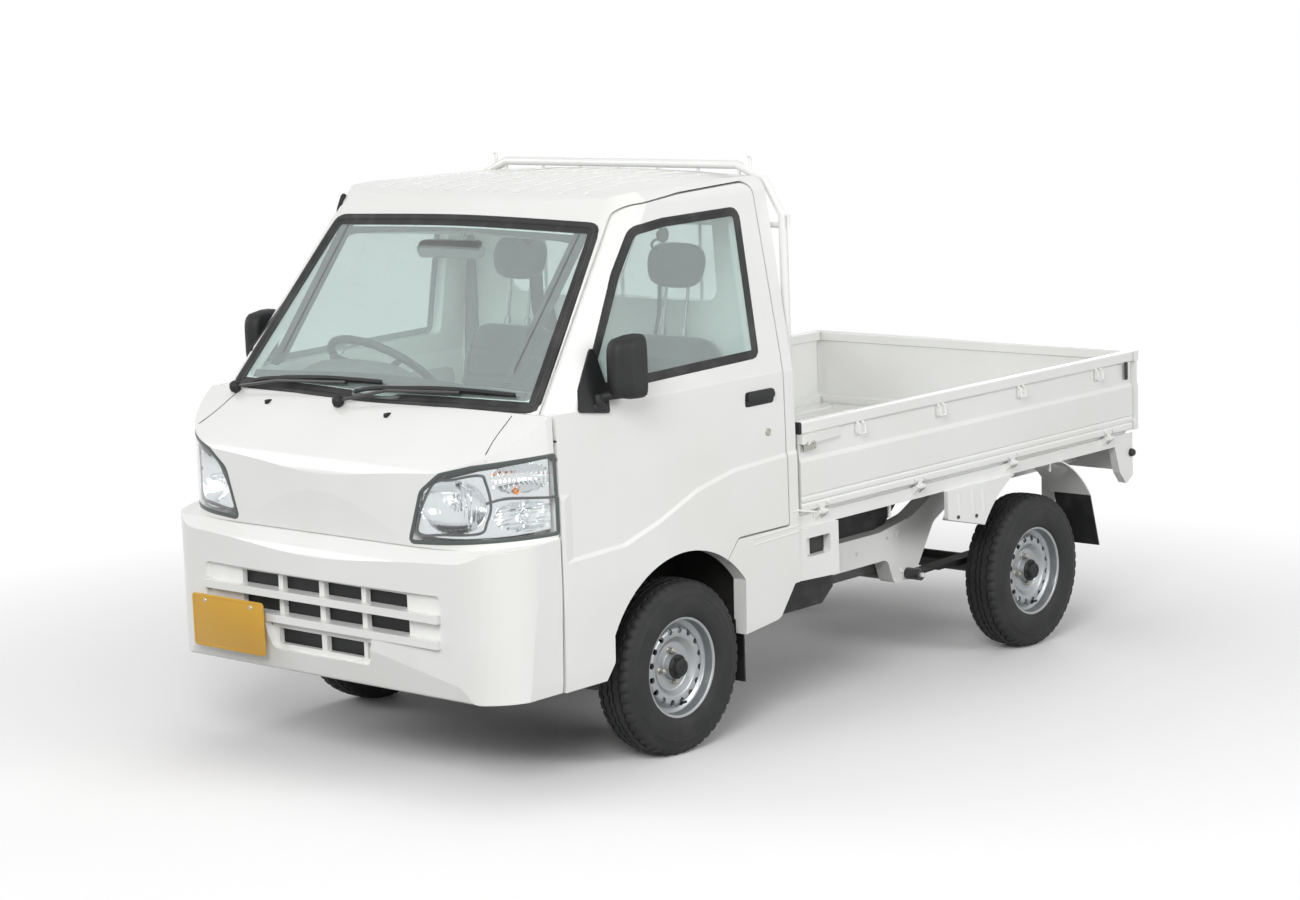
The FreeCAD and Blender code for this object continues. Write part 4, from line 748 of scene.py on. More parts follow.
def door_fittings(side, sign):
    """Grip and lock on a door, and the mirror with its glass."""
    body = "door_" + side
    bm = bmesh.new()
    outline = corners([(-540, 1023, 9), (-403, 1023, 9), (-400, 1069, 12), (-537, 1069, 12)])
    plate(bm, outline, "x", 727, 732, 2.0)
    grip = corners([(-534, 1040, 6), (-408, 1040, 6), (-405, 1068, 11), (-533, 1068, 11)])
    plate(bm, grip, "x", 731, 743, 4.0, 3)
    flipped(bm, sign)
    piece("door_grip_" + side, bm, body, BLACK)
    bm = bmesh.new()
    lathe(bm, (731.5, -435, 934), (1, 0, 0), [(0, 0), (0, 12), (3.5, 12), (5, 10.5), (5, 9), (3.8, 8.5),
                                              (3.8, 2), (3.0, 1.6), (3.0, 0)], 28)
    flipped(bm, sign)
    piece("door_lock_" + side, bm, body, ZINC)
    bm = bmesh.new()
    face = corners([(768, 1152, 24), (824, 1152, 24), (824, 1299, 26), (768, 1299, 26)], 6)
    plate(bm, face, "y", -1095.5, -1092.5, 0.8)
    flipped(bm, sign)
    piece("mirror_glass_" + side, bm, body, MIRROR)
    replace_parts(mirror_head(side, sign), "mirror_" + side)


def mirror_head(side, sign):
    """The mirror's triangular base on the window corner, its arm, and the rounded housing."""
    bm = bmesh.new()
    base = corners([(-1290, 1108, 8), (-1162, 1090, 8), (-1158, 1160, 20), (-1192, 1290, 10),
                    (-1275, 1170, 30)])
    rims = [[], []]
    for y, z in base:
        inside = touch("mirror_left", (600, y * 0.985 - 18, z * 0.97 + 35), (1, 0, 0)).x
        rims[0].append(bm.verts.new((inside, y, z)))
        rims[1].append(bm.verts.new((inside + 8, y, z)))
    bm.faces.new(rims[0])
    bm.faces.new(rims[1])
    for k in range(len(base)):
        m = (k + 1) % len(base)
        bm.faces.new((rims[0][k], rims[0][m], rims[1][m], rims[1][k]))
    lathe(bm, (733, -1205, 1112), (0, 0, 1), [(0, 0), (0, 15), (4, 18), (36, 18), (40, 14), (40, 0)], 24)
    block(bm, (698, -1232, 1100), (742, -1172, 1126), 9, 3)
    swept(bm, smooth_path([(733, -1205, 1140), (762, -1186, 1146), (790, -1164, 1150)], 5),
          circle(13, 14))
    plan = corners([(754, -1196, 30), (806, -1216, 34), (836, -1158, 34), (833, -1094, 7),
                    (757, -1094, 7)], 6)
    middle = Vector((796, -1140))
    rows = []
    for k in range(19):
        t = -1 + 2 * k / 18
        shrink = max(0.0, 1 - abs(t) ** 4.5) ** (1 / 4.5) if abs(t) < 1 else 0.35
        shrink = max(shrink, 0.45)
        height = 1225.5 + 92.5 * math.copysign(abs(t) ** 0.85, t)
        rows.append([bm.verts.new((middle.x + (x - middle.x) * shrink,
                                   -1094 + (y + 1094) * shrink, height)) for x, y in plan])
    bm.faces.new(rows[0])
    bm.faces.new(rows[-1])
    for low, high in zip(rows, rows[1:]):
        for k in range(len(plan)):
            m = (k + 1) % len(plan)
            bm.faces.new((low[k], low[m], high[m], high[k]))
    flipped(bm, sign)
    return piece("mirror_housing_" + side, bm, "door_" + side, BLACK, crease=50)


for side, sign in SIDES:
    door_fittings(side, sign)


def number_plate():
    """The blank plate in front, with its pressed rim, and two screws through its brackets."""
    bm = bmesh.new()
    outline = corners([(-543, 352, 14), (-213, 352, 14), (-213, 517, 14), (-543, 517, 14)])
    plate(bm, outline, "y", -1702, -1700.4, 0.5)
    rim = [Vector((x, -1702, z)) for x, z in corners([(-537, 358, 12), (-219, 358, 12), (-219, 511, 12),
                                                      (-537, 511, 12)])]
    swept(bm, rim, [(-1.8, -0.4), (-1, 1.2), (1, 1.2), (1.8, -0.4)], [Vector((0, -1, 0))] * len(rim),
          closed=True)
    piece("number_plate_blank", bm, "root", PLATE_YELLOW)
    bm = bmesh.new()
    for x in (-483.0, -273.0):
        lathe(bm, (x, -1701, 497), (0, -1, 0), [(0, 0), (0, 7), (1.5, 7), (3, 5.5), (3.6, 0)], 18)
        block(bm, (x - 12, -1700.4, 470), (x + 12, -1672, 504), 2)
    piece("number_plate_screws", bm, "root", ZINC)


number_plate()


def grille_backing():
    """The black screen behind the air intakes."""
    bm = bmesh.new()
    block(bm, (-392, -1635, 380), (392, -1631, 620), 2)
    piece("intake_screen", bm, "root", BLACK)


grille_backing()


# Inside the cab

SEAT_X = 340.0
# The seats' filling: voxel size in millimetres, air pressure, and steps of the cloth.
VOXEL = 10
PRESSURE = 4.0
CLOTH_STEPS = 20


def stuffed(name, half, place, material, travel, roundness=5.0):
    """A padded form: a rounded block that place() sets in the cab, then blown up as cloth. No
    point of it moves further than travel, in millimetres."""
    bm = bmesh.new()
    bmesh.ops.create_cube(bm, size=2)
    bmesh.ops.subdivide_edges(bm, edges=list(bm.edges), cuts=14, use_grid_fill=True)
    for vert in bm.verts:
        size = sum(abs(c) ** roundness for c in vert.co) ** (1 / roundness)
        unit = vert.co / size
        vert.co = placed(place(Vector((unit.x * half[0], unit.y * half[1], unit.z * half[2])), unit))
    mesh = bpy.data.meshes.new(name)
    bm.to_mesh(mesh)
    bm.free()
    pad = bpy.data.objects.new(name, mesh)
    bpy.context.scene.collection.objects.link(pad)

    def settle():
        """The pad's mesh with its modifiers worked in."""
        flat = bpy.data.meshes.new_from_object(pad.evaluated_get(bpy.context.evaluated_depsgraph_get()))
        pad.modifiers.clear()
        return flat

    remesh = pad.modifiers.new("even", "REMESH")
    remesh.mode = "VOXEL"
    remesh.voxel_size = VOXEL * MM
    pad.data = settle()
    rest = [v.co.copy() for v in pad.data.vertices]
    cloth = pad.modifiers.new("filling", "CLOTH")
    cloth.settings.use_pressure = True
    cloth.settings.uniform_pressure_force = PRESSURE
    cloth.settings.effector_weights.gravity = 0.0
    for step in range(1, CLOTH_STEPS + 1):
        bpy.context.scene.frame_set(step)
    swollen = settle()
    for vert, before in zip(swollen.vertices, rest):
        move = vert.co - before
        if move.length > travel * MM:
            vert.co = before + move * (travel * MM / move.length)
    pad.data = swollen
    bpy.context.scene.frame_set(1)
    smooth = pad.modifiers.new("smooth", "SUBSURF")
    smooth.levels = 1
    pad.data = settle()
    pad.data.name = name
    pad.data.shade_smooth()
    pad.data.materials.clear()
    pad.data.materials.append(material)
    return pad


def sewn(pad, lines, width, depth):
    """Presses sewn lines into a pad. Each is a point on it, the way across it and the side that
    it shows on."""
    for vert in pad.data.vertices:
        level = TIP.inverted() @ vert.co / MM
        for point, across, facing in lines:
            off = (level - Vector(point)).dot(Vector(across))
            if abs(off) < width * 3 and vert.normal.dot(Vector(facing)) > 0.25:
                vert.co -= vert.normal * (depth * MM * math.exp(-(off / width) ** 2))


def seat(side, sign):
    """One seat: cushion, back and headrest, with the posts and the frame that carry them."""
    lean = Vector((0, 0.2, 0.98)).normalized()
    across_lean = Vector((0, 0.98, -0.2)).normalized()

    def cushion_place(p, unit):
        drop = 26 * max(0.0, -unit.y - 0.35) ** 2 * (1 if unit.z > 0 else 0)
        hollow = 12 * (1 - min(1, abs(unit.x) * 1.3)) * max(0, unit.z)
        return Vector((sign * SEAT_X + p.x, -648 + p.y, 744 + p.z - drop - hollow))

    cushion = stuffed("seat_cushion_" + side, (226, 240, 86), cushion_place, SEAT_CLOTH, 10)
    sewn(cushion, [((0, y, 0), (0, 1, 0), (0, 0, 1)) for y in (-520, -610, -700, -790)], 7.0, 5.0)
    sewn(cushion, [((sign * SEAT_X + x, 0, 0), (1, 0, 0), (0, 0, 1)) for x in (-165, 165)], 6.0, 7.0)

    def back_place(p, unit):
        narrow = 1 - 0.07 * max(0, unit.z) ** 2
        hollow = 14 * (1 - min(1, abs(unit.x) * 1.25)) * (1 if unit.y < 0 else 0)
        return (Vector((sign * SEAT_X + p.x * narrow, -466, 1000)) + lean * p.z
                + across_lean * (p.y + hollow))

    back = stuffed("seat_back_" + side, (222, 40, 226), back_place, SEAT_CLOTH, 9)
    sewn(back, [((0, -466, z), (0, -0.2, 0.98), (0, -1, 0)) for z in (880, 965, 1050, 1135)], 7.0, 5.0)
    sewn(back, [((sign * SEAT_X + x, 0, 0), (1, 0, 0), (0, -1, 0)) for x in (-160, 160)], 6.0, 7.0)

    def head_place(p, unit):
        narrow = 1 - 0.10 * max(0, -unit.z)
        return (Vector((sign * SEAT_X + p.x * narrow, -393, 1434)) + lean * p.z + across_lean * p.y)

    head = stuffed("headrest_" + side, (114, 30, 72), head_place, SEAT_CLOTH, 6, roundness=3.4)
    for pad, fill in ((cushion, 0.75), (back, 0.75), (head, 0.85)):
        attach(pad, "root")
        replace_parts(pad, "seats")

    bm = bmesh.new()
    for x in (-45, 45):
        foot = Vector((sign * SEAT_X + x, -424, 1200))
        swept(bm, [foot + lean * (175 * k / 5) for k in range(6)], circle(5.5, 12))
        lathe(bm, foot + lean * 14, lean, [(0, 0), (0, 11), (22, 11), (25, 8), (25, 0)], 18)
    piece("headrest_posts_" + side, bm, "root", STEEL)
    bm = bmesh.new()
    block(bm, (sign * SEAT_X - 205, -860, 632), (sign * SEAT_X + 205, -420, 664), 10)
    for x in (-215, 215):
        swept(bm, [(sign * SEAT_X + x, y, z) for y, z in ((-560, 690), (-520, 760), (-505, 840))],
              [(-4, -20), (-4, 20), (4, 20), (4, -20)])
    piece("seat_frame_" + side, bm, "root", CHASSIS_BLACK)


for side, sign in SIDES:
    seat(side, sign)


def belts():
    """Webbing from the guide on each rear pillar to its anchor, with the buckles by the seats."""
    webbing = bmesh.new()
    hard = bmesh.new()
    band = [(-23, -0.7), (-23, 0.7), (23, 0.7), (23, -0.7)]
    for side, sign in SIDES:
        def wall(y, z, away):
            """A point that stands off the inside of the pillar."""
            return touch("cab_side_" + side, (sign * 300, y, z), (sign, 0, 0), away)

        path = smooth_path([wall(-392, 1490, 26), wall(-396, 1300, 34), wall(-400, 1060, 40),
                            Vector((sign * 632, -408, 800)), Vector((sign * 640, -408, 690))], 6)
        swept(webbing, path, band, [Vector((-sign * 0.9, -0.44, 0))] * len(path))
        guide = wall(-392, 1500, 24)
        loop = [guide + Vector((0, -14 + 28 * math.cos(a), 15 * math.sin(a)))
                for a in (2 * math.pi * k / 20 for k in range(20))]
        swept(hard, loop, circle(4.5, 8), [Vector((sign, 0, 0))] * 20, closed=True)
        lathe(hard, wall(-400, 1530, 1), (-sign, 0, 0),
              [(0, 0), (0, 24), (6, 23), (14, 16), (22, 13), (22, 0)], 24)
        block(hard, wall(-412, 1056, 44) - Vector((8, 0, 0)), wall(-396, 1110, 40) + Vector((8, 0, 0)), 4)
        block(hard, (sign * 92 - 13, -520, 790), (sign * 92 + 13, -494, 872), 7)
        path = smooth_path([(sign * 92, -500, 792), (sign * 94, -480, 740), (sign * 96, -470, 690)], 6)
        swept(webbing, path, [(-13, -0.8), (-13, 0.8), (13, 0.8), (13, -0.8)],
              [Vector((sign, 0, 0))] * len(path))
    piece("seat_belt_webbing", webbing, "root", WEBBING)
    piece("seat_belt_fittings", hard, "root", BLACK)


belts()


DASH_TOP = 1074


def cab_trim():
    """Mirror, grab handle, visors, dashboard top with the instruments, vents and levers."""
    bm = bmesh.new()
    face = corners([(-136, 1503, 20), (138, 1508, 20), (138, 1563, 24), (-136, 1558, 24)], 6)
    plate(bm, face, "y", -1062, -1036, 7, 3)
    swept(bm, smooth_path([(0, -1036, 1535), (0, -1000, 1560), (0, -978, 1610), (0, -960, 1664)], 5),
          circle(7, 12))
    lathe(bm, (0, -1038, 1535), (0, 1, 0), [(0, 0), (0, 15), (8, 13), (14, 8), (14, 0)], 20)
    piece("inner_mirror", bm, "root", GREY)

    bm = bmesh.new()
    grab = smooth_path([(-668, -955, 1496), (-634, -966, 1487), (-626, -985, 1470), (-626, -1078, 1393),
                        (-634, -1098, 1376), (-668, -1106, 1368)], 6)
    swept(bm, grab, circle(9, 12))
    for y, z in ((-958, 1492), (-1104, 1370)):
        lathe(bm, (-676, y, z), (1, 0, 0), [(0, 0), (0, 15), (10, 14), (16, 10), (16, 0)], 16)
    piece("grab_handle", bm, "root", PALE_GREY)

    bm = bmesh.new()
    for sign in (-1, 1):
        outline = corners([(sign * 60, -902, 14), (sign * 540, -884, 20), (sign * 548, -770, 30),
                           (sign * 60, -770, 14)])
        plate(bm, outline, "z", 1646, 1660, 5, 3)
        swept(bm, [(sign * 545, -772, 1653), (sign * 60, -772, 1653)], circle(6, 10))
    piece("sun_visors", bm, "root", PALE_GREY)

    bm = bmesh.new()
    for middle, reach, top, start, end in ((-255, 268, 1196, -1330, -1140), (0, 630, 1146, -1385, -1122)):
        rings = []
        for k in range(17):
            t = k / 16
            rise = math.sin(math.pi * (0.06 + 0.80 * t)) ** 0.7
            ring = []
            for j in range(33):
                a = math.pi * j / 32
                x = middle + reach * math.copysign(abs(math.cos(a)) ** 0.7, math.cos(a))
                lift = math.sin(a) ** (0.8 if reach < 400 else 0.35)
                ring.append(bm.verts.new((x, start + (end - start) * t,
                                          DASH_TOP + (top - DASH_TOP) * rise * lift)))
            rings.append(ring)
        for low, high in zip(rings, rings[1:]):
            for a, b, c, d in zip(low, low[1:], high[1:], high):
                bm.faces.new((a, b, c, d))
    bmesh.ops.solidify(bm, geom=list(bm.faces), thickness=4)
    piece("dash_pad", bm, "root", GREY, crease=50)

    bm = bmesh.new()
    for x, r in ((-405, 46), (-285, 52)):
        lathe(bm, (x, -1150, 1118), (0, 0.8, 0.6),
              [(0, 0), (0, r), (5, r), (8, r - 3), (8, r - 6), (4, r - 8), (4, 0)], 40)
    piece("gauges", bm, "root", DARK)

    bm = bmesh.new()
    for x in (-560, -110, 110, 560):
        outline = corners([(x - 44, 1030, 10), (x + 44, 1030, 10), (x + 44, 1078, 10),
                           (x - 44, 1078, 10)])
        plate(bm, outline, "y", -1123, -1112, 3)
        for k in range(5):
            z = 1037 + 8.4 * k
            plate(bm, [(-1114, z), (-1108, z + 3), (-1108, z + 5), (-1114, z + 2)], "x", x - 38, x + 38)
    block(bm, (-92, -1124, 930), (92, -1112, 1014), 6)
    for x in (-55, 0, 55):
        lathe(bm, (x, -1114, 900), (0, 1, 0), [(0, 0), (0, 19), (4, 20), (14, 17), (18, 15), (18, 0)], 24)
    piece("dash_vents_and_controls", bm, "root", DARK)

    bm = bmesh.new()
    lever = smooth_path([(-30, -890, 700), (-40, -930, 800), (-48, -950, 880)], 8)
    swept(bm, lever, circle(6, 12))
    tilt = (-0.1, -0.25, 0.96)
    lathe(bm, (-46, -947, 868), tilt,
          [(0, 0), (0, 14), (16, 19), (34, 23), (50, 20), (56, 12), (58, 0)], 24)
    lathe(bm, (-28, -885, 660), tilt,
          [(0, 52), (10, 50), (14, 42), (26, 40), (30, 32), (42, 30), (46, 20), (58, 16), (60, 8)], 28)
    block(bm, (52, -760, 690), (76, -560, 722), 10)
    lathe(bm, (64, -770, 712), (0, -0.95, 0.3), [(0, 0), (0, 13), (70, 15), (92, 12), (96, 0)], 18)
    piece("levers", bm, "root", BLACK)


cab_trim()


def pillar_trims():
    """Grey moulded covers on the front of the rear pillars, inside the cab."""
    bm = bmesh.new()
    outline = corners([(590, 760, 6), (658, 760, 6), (658, 1080, 0), (642, 1290, 0), (618, 1500, 0),
                       (600, 1560, 8), (588, 1560, 6)], 3)
    plate(bm, outline, "y", -358, -351, 1.5)
    mirrored(bm)
    piece("pillar_trims", bm, "root", GREY)


pillar_trims()


# Trim on the cowl and the screen

def cowl_seams():
    """The joint that runs from each foot of the screen down to the headlamp, packed with sealer."""
    bm = bmesh.new()
    joint = [(592, 1106), (596, 1092), (600, 1072), (605, 1053), (613, 1036), (624, 1017), (632, 998)]
    for side, sign in SIDES:
        path = smooth_path([touch("cab_front", (sign * x, -1760, z), (0, 1, 0), -0.4)
                            for x, z in joint], 3)
        swept(bm, path, circle(1.5, 8), [Vector((sign * 0.3, -0.8, 0.5))] * len(path))
    piece("cowl_seams", bm, "root", RUBBER)


cowl_seams()


def before_screen(x, along):
    """A point in front of the windscreen: along is the height above its foot."""
    return Vector((x, BELT_Y + along * SCREEN_SLOPE, BELT_Z + along)) + SCREEN_OUT * 200


def glass_point(x, along, proud):
    """A point that stands proud of the windscreen's outer face."""
    return touch("cab_glass", before_screen(x, along), -SCREEN_OUT, proud)


def on_screen(x, along):
    """Whether there is glass at that place."""
    return SKINS["cab_glass"].ray_cast(before_screen(x, along), -SCREEN_OUT, 260)[0] is not None


def aerial():
    """A short mast, pushed in, that lies along the right screen pillar under its black head."""
    bm = bmesh.new()
    out = Vector((-0.62, -0.45, 0.64)).normalized()

    def beside(t, away):
        line = Vector((-590, -905, 1676)).lerp(Vector((-652, -1335, 1180)), t)
        return touch("cab_side_right", line + out * 60, -out, away)

    high, low = beside(0.02, 8), beside(0.17, 10)
    along = (low - high).normalized()
    lathe(bm, high, along, [(0, 0), (0, 6), (8, 10), (50, 12), (86, 9), (100, 5), (100, 0)], 18)
    swept(bm, [low, beside(0.35, 9), beside(0.6, 9), beside(0.93, 9)], circle(2.4, 8), [out] * 4)
    lathe(bm, beside(0.93, 9), along, [(-10, 0), (-10, 4.5), (6, 5), (10, 2.6), (10, 0)], 12)
    piece("aerial", bm, "root", BLACK)


aerial()


def shade_bands():
    """The black ceramic band baked on the inside of the screen along its foot and its head."""
    bm = bmesh.new()
    for foot, reach in ((True, 590), (False, 540)):
        rows = []
        for k in range(33):
            x = -reach + 2 * reach * k / 32
            dip = 12 * math.cos(math.pi * k / 32) ** 2
            if foot:
                low, high = 30, 74 - dip
            else:
                high = 560
                while high > 0 and not on_screen(x, high):
                    high -= 3
                high -= 6
                low = high - 30 - dip
            rows.append([bm.verts.new(glass_point(x, along, -deep))
                         for along, deep in ((low, 7.0), (high, 7.0), (high, 8.0), (low, 8.0))])
        for near, far in zip(rows, rows[1:]):
            for j in range(4):
                m = (j + 1) % 4
                bm.faces.new((near[j], near[m], far[m], far[j]))
        bm.faces.new(rows[0])
        bm.faces.new(rows[-1])
    piece("screen_shade_bands", bm, "root", DARK)


shade_bands()


def wiper_blades():
    """A sprung frame that presses a rubber lip on the glass, at the end of each arm, with the
    arms' caps and the washer jets on the cowl."""
    frames = bmesh.new()
    lips = bmesh.new()
    for start, end, pivot in ((-440.0, 10.0, -600.0), (130.0, 560.0, -110.0)):
        spine, lip = [], []
        for k in range(13):
            t = k / 12
            x, along = start + (end - start) * t, 36 + 10 * t
            lip.append(glass_point(x, along, 4.0))
            spine.append(glass_point(x, along + 2, 10.0 + 9.0 * math.sin(math.pi * t)))
        swept(lips, lip, [(-1.5, -3.5), (-4.0, 3), (4.0, 3), (1.5, -3.5)], [SCREEN_OUT] * 13)
        swept(frames, spine, [(-6, -1.5), (-5, 2.5), (5, 2.5), (6, -1.5)], [SCREEN_OUT] * 13)
        for k in (1, 3, 9, 11):
            swept(frames, [spine[k], lip[k]], circle(4.0, 8))
        arm = [glass_point(pivot + 34, 14, 16.0), glass_point((pivot + start) / 2 + 30, 28, 20.0),
               spine[6]]
        swept(frames, smooth_path(arm, 6), [(-6, -2.5), (-5, 3), (5, 3), (6, -2.5)], [SCREEN_OUT] * 13)
    piece("wiper_frames", frames, "root", BLACK)
    piece("wiper_rubbers", lips, "root", RUBBER)
    bm = bmesh.new()
    for x, y, z in ((-600.0, -1424.0, 1104.0), (-110.0, -1441.0, 1092.0)):
        out = Vector((0, -0.52, 0.85)).normalized()
        lathe(bm, Vector((x, y, z)) + out * 6, out,
              [(0, 15), (4, 19), (16, 18), (25, 13.5), (28, 8), (28.5, 0)], 24)
    for x, y, z in ((-420.0, -1455.0, 1083.0), (118.0, -1462.0, 1079.0)):
        block(bm, (x - 8, y - 12, z - 6), (x + 8, y + 12, z + 9), 4, 2)
    piece("cowl_fittings", bm, "root", BLACK)


wiper_blades()


# The bed and what hangs under it

def bed_details():
    """Rubber caps, latches and rivets on the gates, with a black plate of painted shade for a slot at
    each gate's rear, and the small parts under the bed, with a black plate of painted shade in the side
    box's recess.
    """
    for side, sign in SIDES:
        caps_and_slot_shade = bmesh.new()
        block(caps_and_slot_shade, (708, -283, 903), (737.6, -271, 942), 5)
        # The black plate near the gate's rear end is painted shade: it stands for the dark inside of a
        # slot.
        plate(caps_and_slot_shade, corners([(1605, 842, 4), (1624, 842, 4), (1624, 906, 4), (1605, 906, 4)]), "x",
              735, 737.8, 0.4)
        flipped(caps_and_slot_shade, sign)
        piece("gate_caps_" + side, caps_and_slot_shade, "gate_" + side, RUBBER)
        latch = bmesh.new()
        plate(latch, corners([(-268, 846, 4), (-206, 852, 4), (-206, 894, 4), (-268, 900, 4)]), "x",
              736, 740, 0.8)
        for y in (-255, -221):
            lathe(latch, (738, y, 873), (1, 0, 0), [(0, 0), (0, 7), (5, 7), (7, 5), (7, 0)], 16)
        swept(latch, [(741, -250, 868), (745, -238, 873), (741, -226, 878)], circle(3.5, 8))
        flipped(latch, sign)
        piece("gate_latch_" + side, latch, "gate_" + side, ZINC)
        bolts = bmesh.new()
        for y in (-175, 350, 892, 1499):
            for step in (-26, 26):
                lathe(bolts, (736.5, y + step, 668), (1, 0, 0),
                      [(0, 0), (0, 6), (2.5, 5.5), (4, 3), (4, 0)], 14)
        flipped(bolts, sign)
        piece("gate_rivets_" + side, bolts, "gate_" + side, WHITE)

    pegs = bmesh.new()
    for y, z in ((235, 552), (679, 554), (1180, 566)):
        lathe(pegs, (690, y, z), (0, 0, 1), [(0, 0), (0, 5), (2, 6), (62, 6), (62, 0)], 16)
    for y, z, r in ((531, 432, 17), (549, 300, 9), (470, 425, 6), (590, 470, 6), (300, 400, 7),
                    (120, 400, 7), (1380, 540, 7), (1480, 540, 7)):
        lathe(pegs, touch("chassis", (580, y, z), (-1, 0, 0), -1), (1, 0, 0),
              [(0, 0), (0, r), (3, r), (5, r * 0.8), (5, r * 0.55), (2, r * 0.5), (2, 0)], 20)
    mirrored(pegs)
    piece("bed_pegs", pegs, "root", WHITE)
    stops_and_shade = bmesh.new()
    lathe(stops_and_shade, touch("bed_skirts", (800, 1672, 566), (-1, 0, 0), -2), (1, 0, 0),
          [(0, 0), (0, 15), (12, 14), (18, 10), (19, 0)], 24)
    # The black plate in the side box's recess is painted shade: it darkens the recess round its black
    # peg.
    spot = touch("bed_skirts", (800, -150, 540), (-1, 0, 0))
    plate(stops_and_shade, corners([(-204, 497, 10), (-96, 497, 10), (-96, 578, 10), (-204, 578, 10)]), "x",
          spot.x - 1, spot.x + 1)
    lathe(stops_and_shade, spot + Vector((0, -56, 32)), (1, 0, 0),
          [(0, 0), (0, 9), (16, 9), (18, 13), (24, 13), (28, 9), (28, 0)], 20)
    mirrored(stops_and_shade)
    piece("rubber_stops", stops_and_shade, "root", RUBBER)


bed_details()


def painted_shade_under_bed():
    """Black sheets of painted shade that hang from the bed's beams just inside the rails: they darken the
    gap under the bed where there is only shadow, and hide the works.
    """
    bm = bmesh.new()
    outline = corners([(-60, 454, 6), (500, 454, 40), (660, 592, 40), (840, 592, 6), (840, 641, 3),
                       (-60, 641, 3)])
    plate(bm, outline, "x", 455, 458, 1)
    mirrored(bm)
    piece("under_bed_sheets", bm, "root", RUBBER)


painted_shade_under_bed()


def quarter_beads():
    """Pressed beads on the cab's sides, behind the doors."""
    bm = bmesh.new()
    rows = [[(y, z + (y + 534) * 0.03) for y in range(-528, -296, 12)] for z in (592, 611)]
    rows.append([(y, 665) for y in range(-330, -286, 6)])
    for row in rows:
        path = [touch("cab_side_left", (800, y, z), (-1, 0, 0), -1.0) for y, z in row]
        swept(bm, path, [(-4, -2), (-2.4, 1.8), (0, 2.8), (2.4, 1.8), (4, -2)],
              [Vector((1, 0, 0))] * len(path))
    mirrored(bm)
    piece("quarter_panel_beads", bm, "root", WHITE)


quarter_beads()


def mudguard_details():
    """Pressed ribs on the front of each rear mudguard, and the two bolts that hold its flap."""
    ribs = bmesh.new()
    for y, top, foot in ((572, 588, 512), (650, 590, 502), (712, 578, 500)):
        path = [touch("bed_skirts", (800, y + (top - z) * 0.12, z), (-1, 0, 0), -2.0)
                for z in (top, (top + foot) / 2, foot)]
        swept(ribs, path, [(-13, 0), (-7, 3.4), (0, 4.6), (7, 3.4), (13, 0)], [Vector((1, 0, 0))] * 3)
    mirrored(ribs)
    piece("mudguard_ribs", ribs, "root", WHITE)
    bolts = bmesh.new()
    for y, z in ((566, 504), (672, 492)):
        lathe(bolts, touch("bed_skirts", (800, y, z), (-1, 0, 0)), (1, 0, 0),
              [(0, 7), (3.2, 7), (4.2, 5.5), (4.2, 0)], 6)
    mirrored(bolts)
    piece("mudguard_bolts", bolts, "root", DARK)


mudguard_details()


# Inside of the doors

def door_linings():
    """The vinyl card, arm rest, pull and window winder on the inside of each door."""
    inner = min(touch("door_left", (300, y, z), (1, 0, 0)).x for y in (-1180, -1000, -800, -600, -450)
                for z in (760, 900, 1030))
    for side, sign in SIDES:
        card = bmesh.new()
        outline = corners([(-1240, 800, 60), (-1060, 720, 60), (-400, 720, 40), (-396, 1052, 30),
                           (-1240, 1066, 30)], 6)
        plate(card, outline, "x", inner - 7, inner, 3, 3)
        flipped(card, sign)
        piece("door_card_" + side, card, "door_" + side, PALE_GREY)
        hard = bmesh.new()
        block(hard, (inner - 46, -930, 872), (inner - 4, -640, 908), 14, 4)
        swept(hard, smooth_path([(inner - 6, -1020, 960), (inner - 34, -1010, 964),
                                 (inner - 34, -900, 984), (inner - 6, -888, 986)], 6), circle(9, 12))
        lathe(hard, (inner - 2, -760, 830), (-1, 0, 0),
              [(0, 0), (0, 20), (12, 17), (16, 12), (16, 0)], 20)
        swept(hard, [(inner - 16, -760, 830), (inner - 24, -700, 812), (inner - 24, -672, 804)],
              [(-8, -3), (-8, 3), (8, 3), (8, -3)])
        lathe(hard, (inner - 22, -672, 804), (-1, 0, 0),
              [(0, 0), (0, 11), (18, 12), (22, 9), (22, 0)], 18)
        plate(hard, corners([(-1130, 980, 8), (-1050, 980, 8), (-1050, 1016, 8), (-1130, 1016, 8)]),
              "x", inner - 12, inner - 4, 2)
        flipped(hard, sign)
        piece("door_furniture_" + side, hard, "door_" + side, DARK)


door_linings()


# Floor, light and camera

# The world's light on the truck, and the grey that the floor throws back at its underside.
SKY_LEVEL = 0.42
FLOOR_BOUNCE = "#8C8C8C"
# In metres: the floor's half width, where it starts to rise, its bend and its height.
FLOOR_HALF, RISE_FROM, BEND, WALL_TOP = 40.0, 14.0, 6.0, 30.0
# How far from the truck the floor's shadow starts to fade, and where it has gone.
SHADOW_FADES, SHADOW_ENDS = 1.7, 3.6


def seen_rays(tree):
    """Is 1 for rays that show the background: seen directly, through glass or in a gloss."""
    path = node(tree, "LightPath")
    seen = node(tree, "Math", {0: path.outputs["Is Camera Ray"], 1: path.outputs["Is Transmission Ray"]},
                operation="MAXIMUM")
    seen = node(tree, "Math", {0: seen.outputs["Value"], 1: path.outputs["Is Glossy Ray"]},
                operation="MAXIMUM")
    return seen.outputs["Value"]


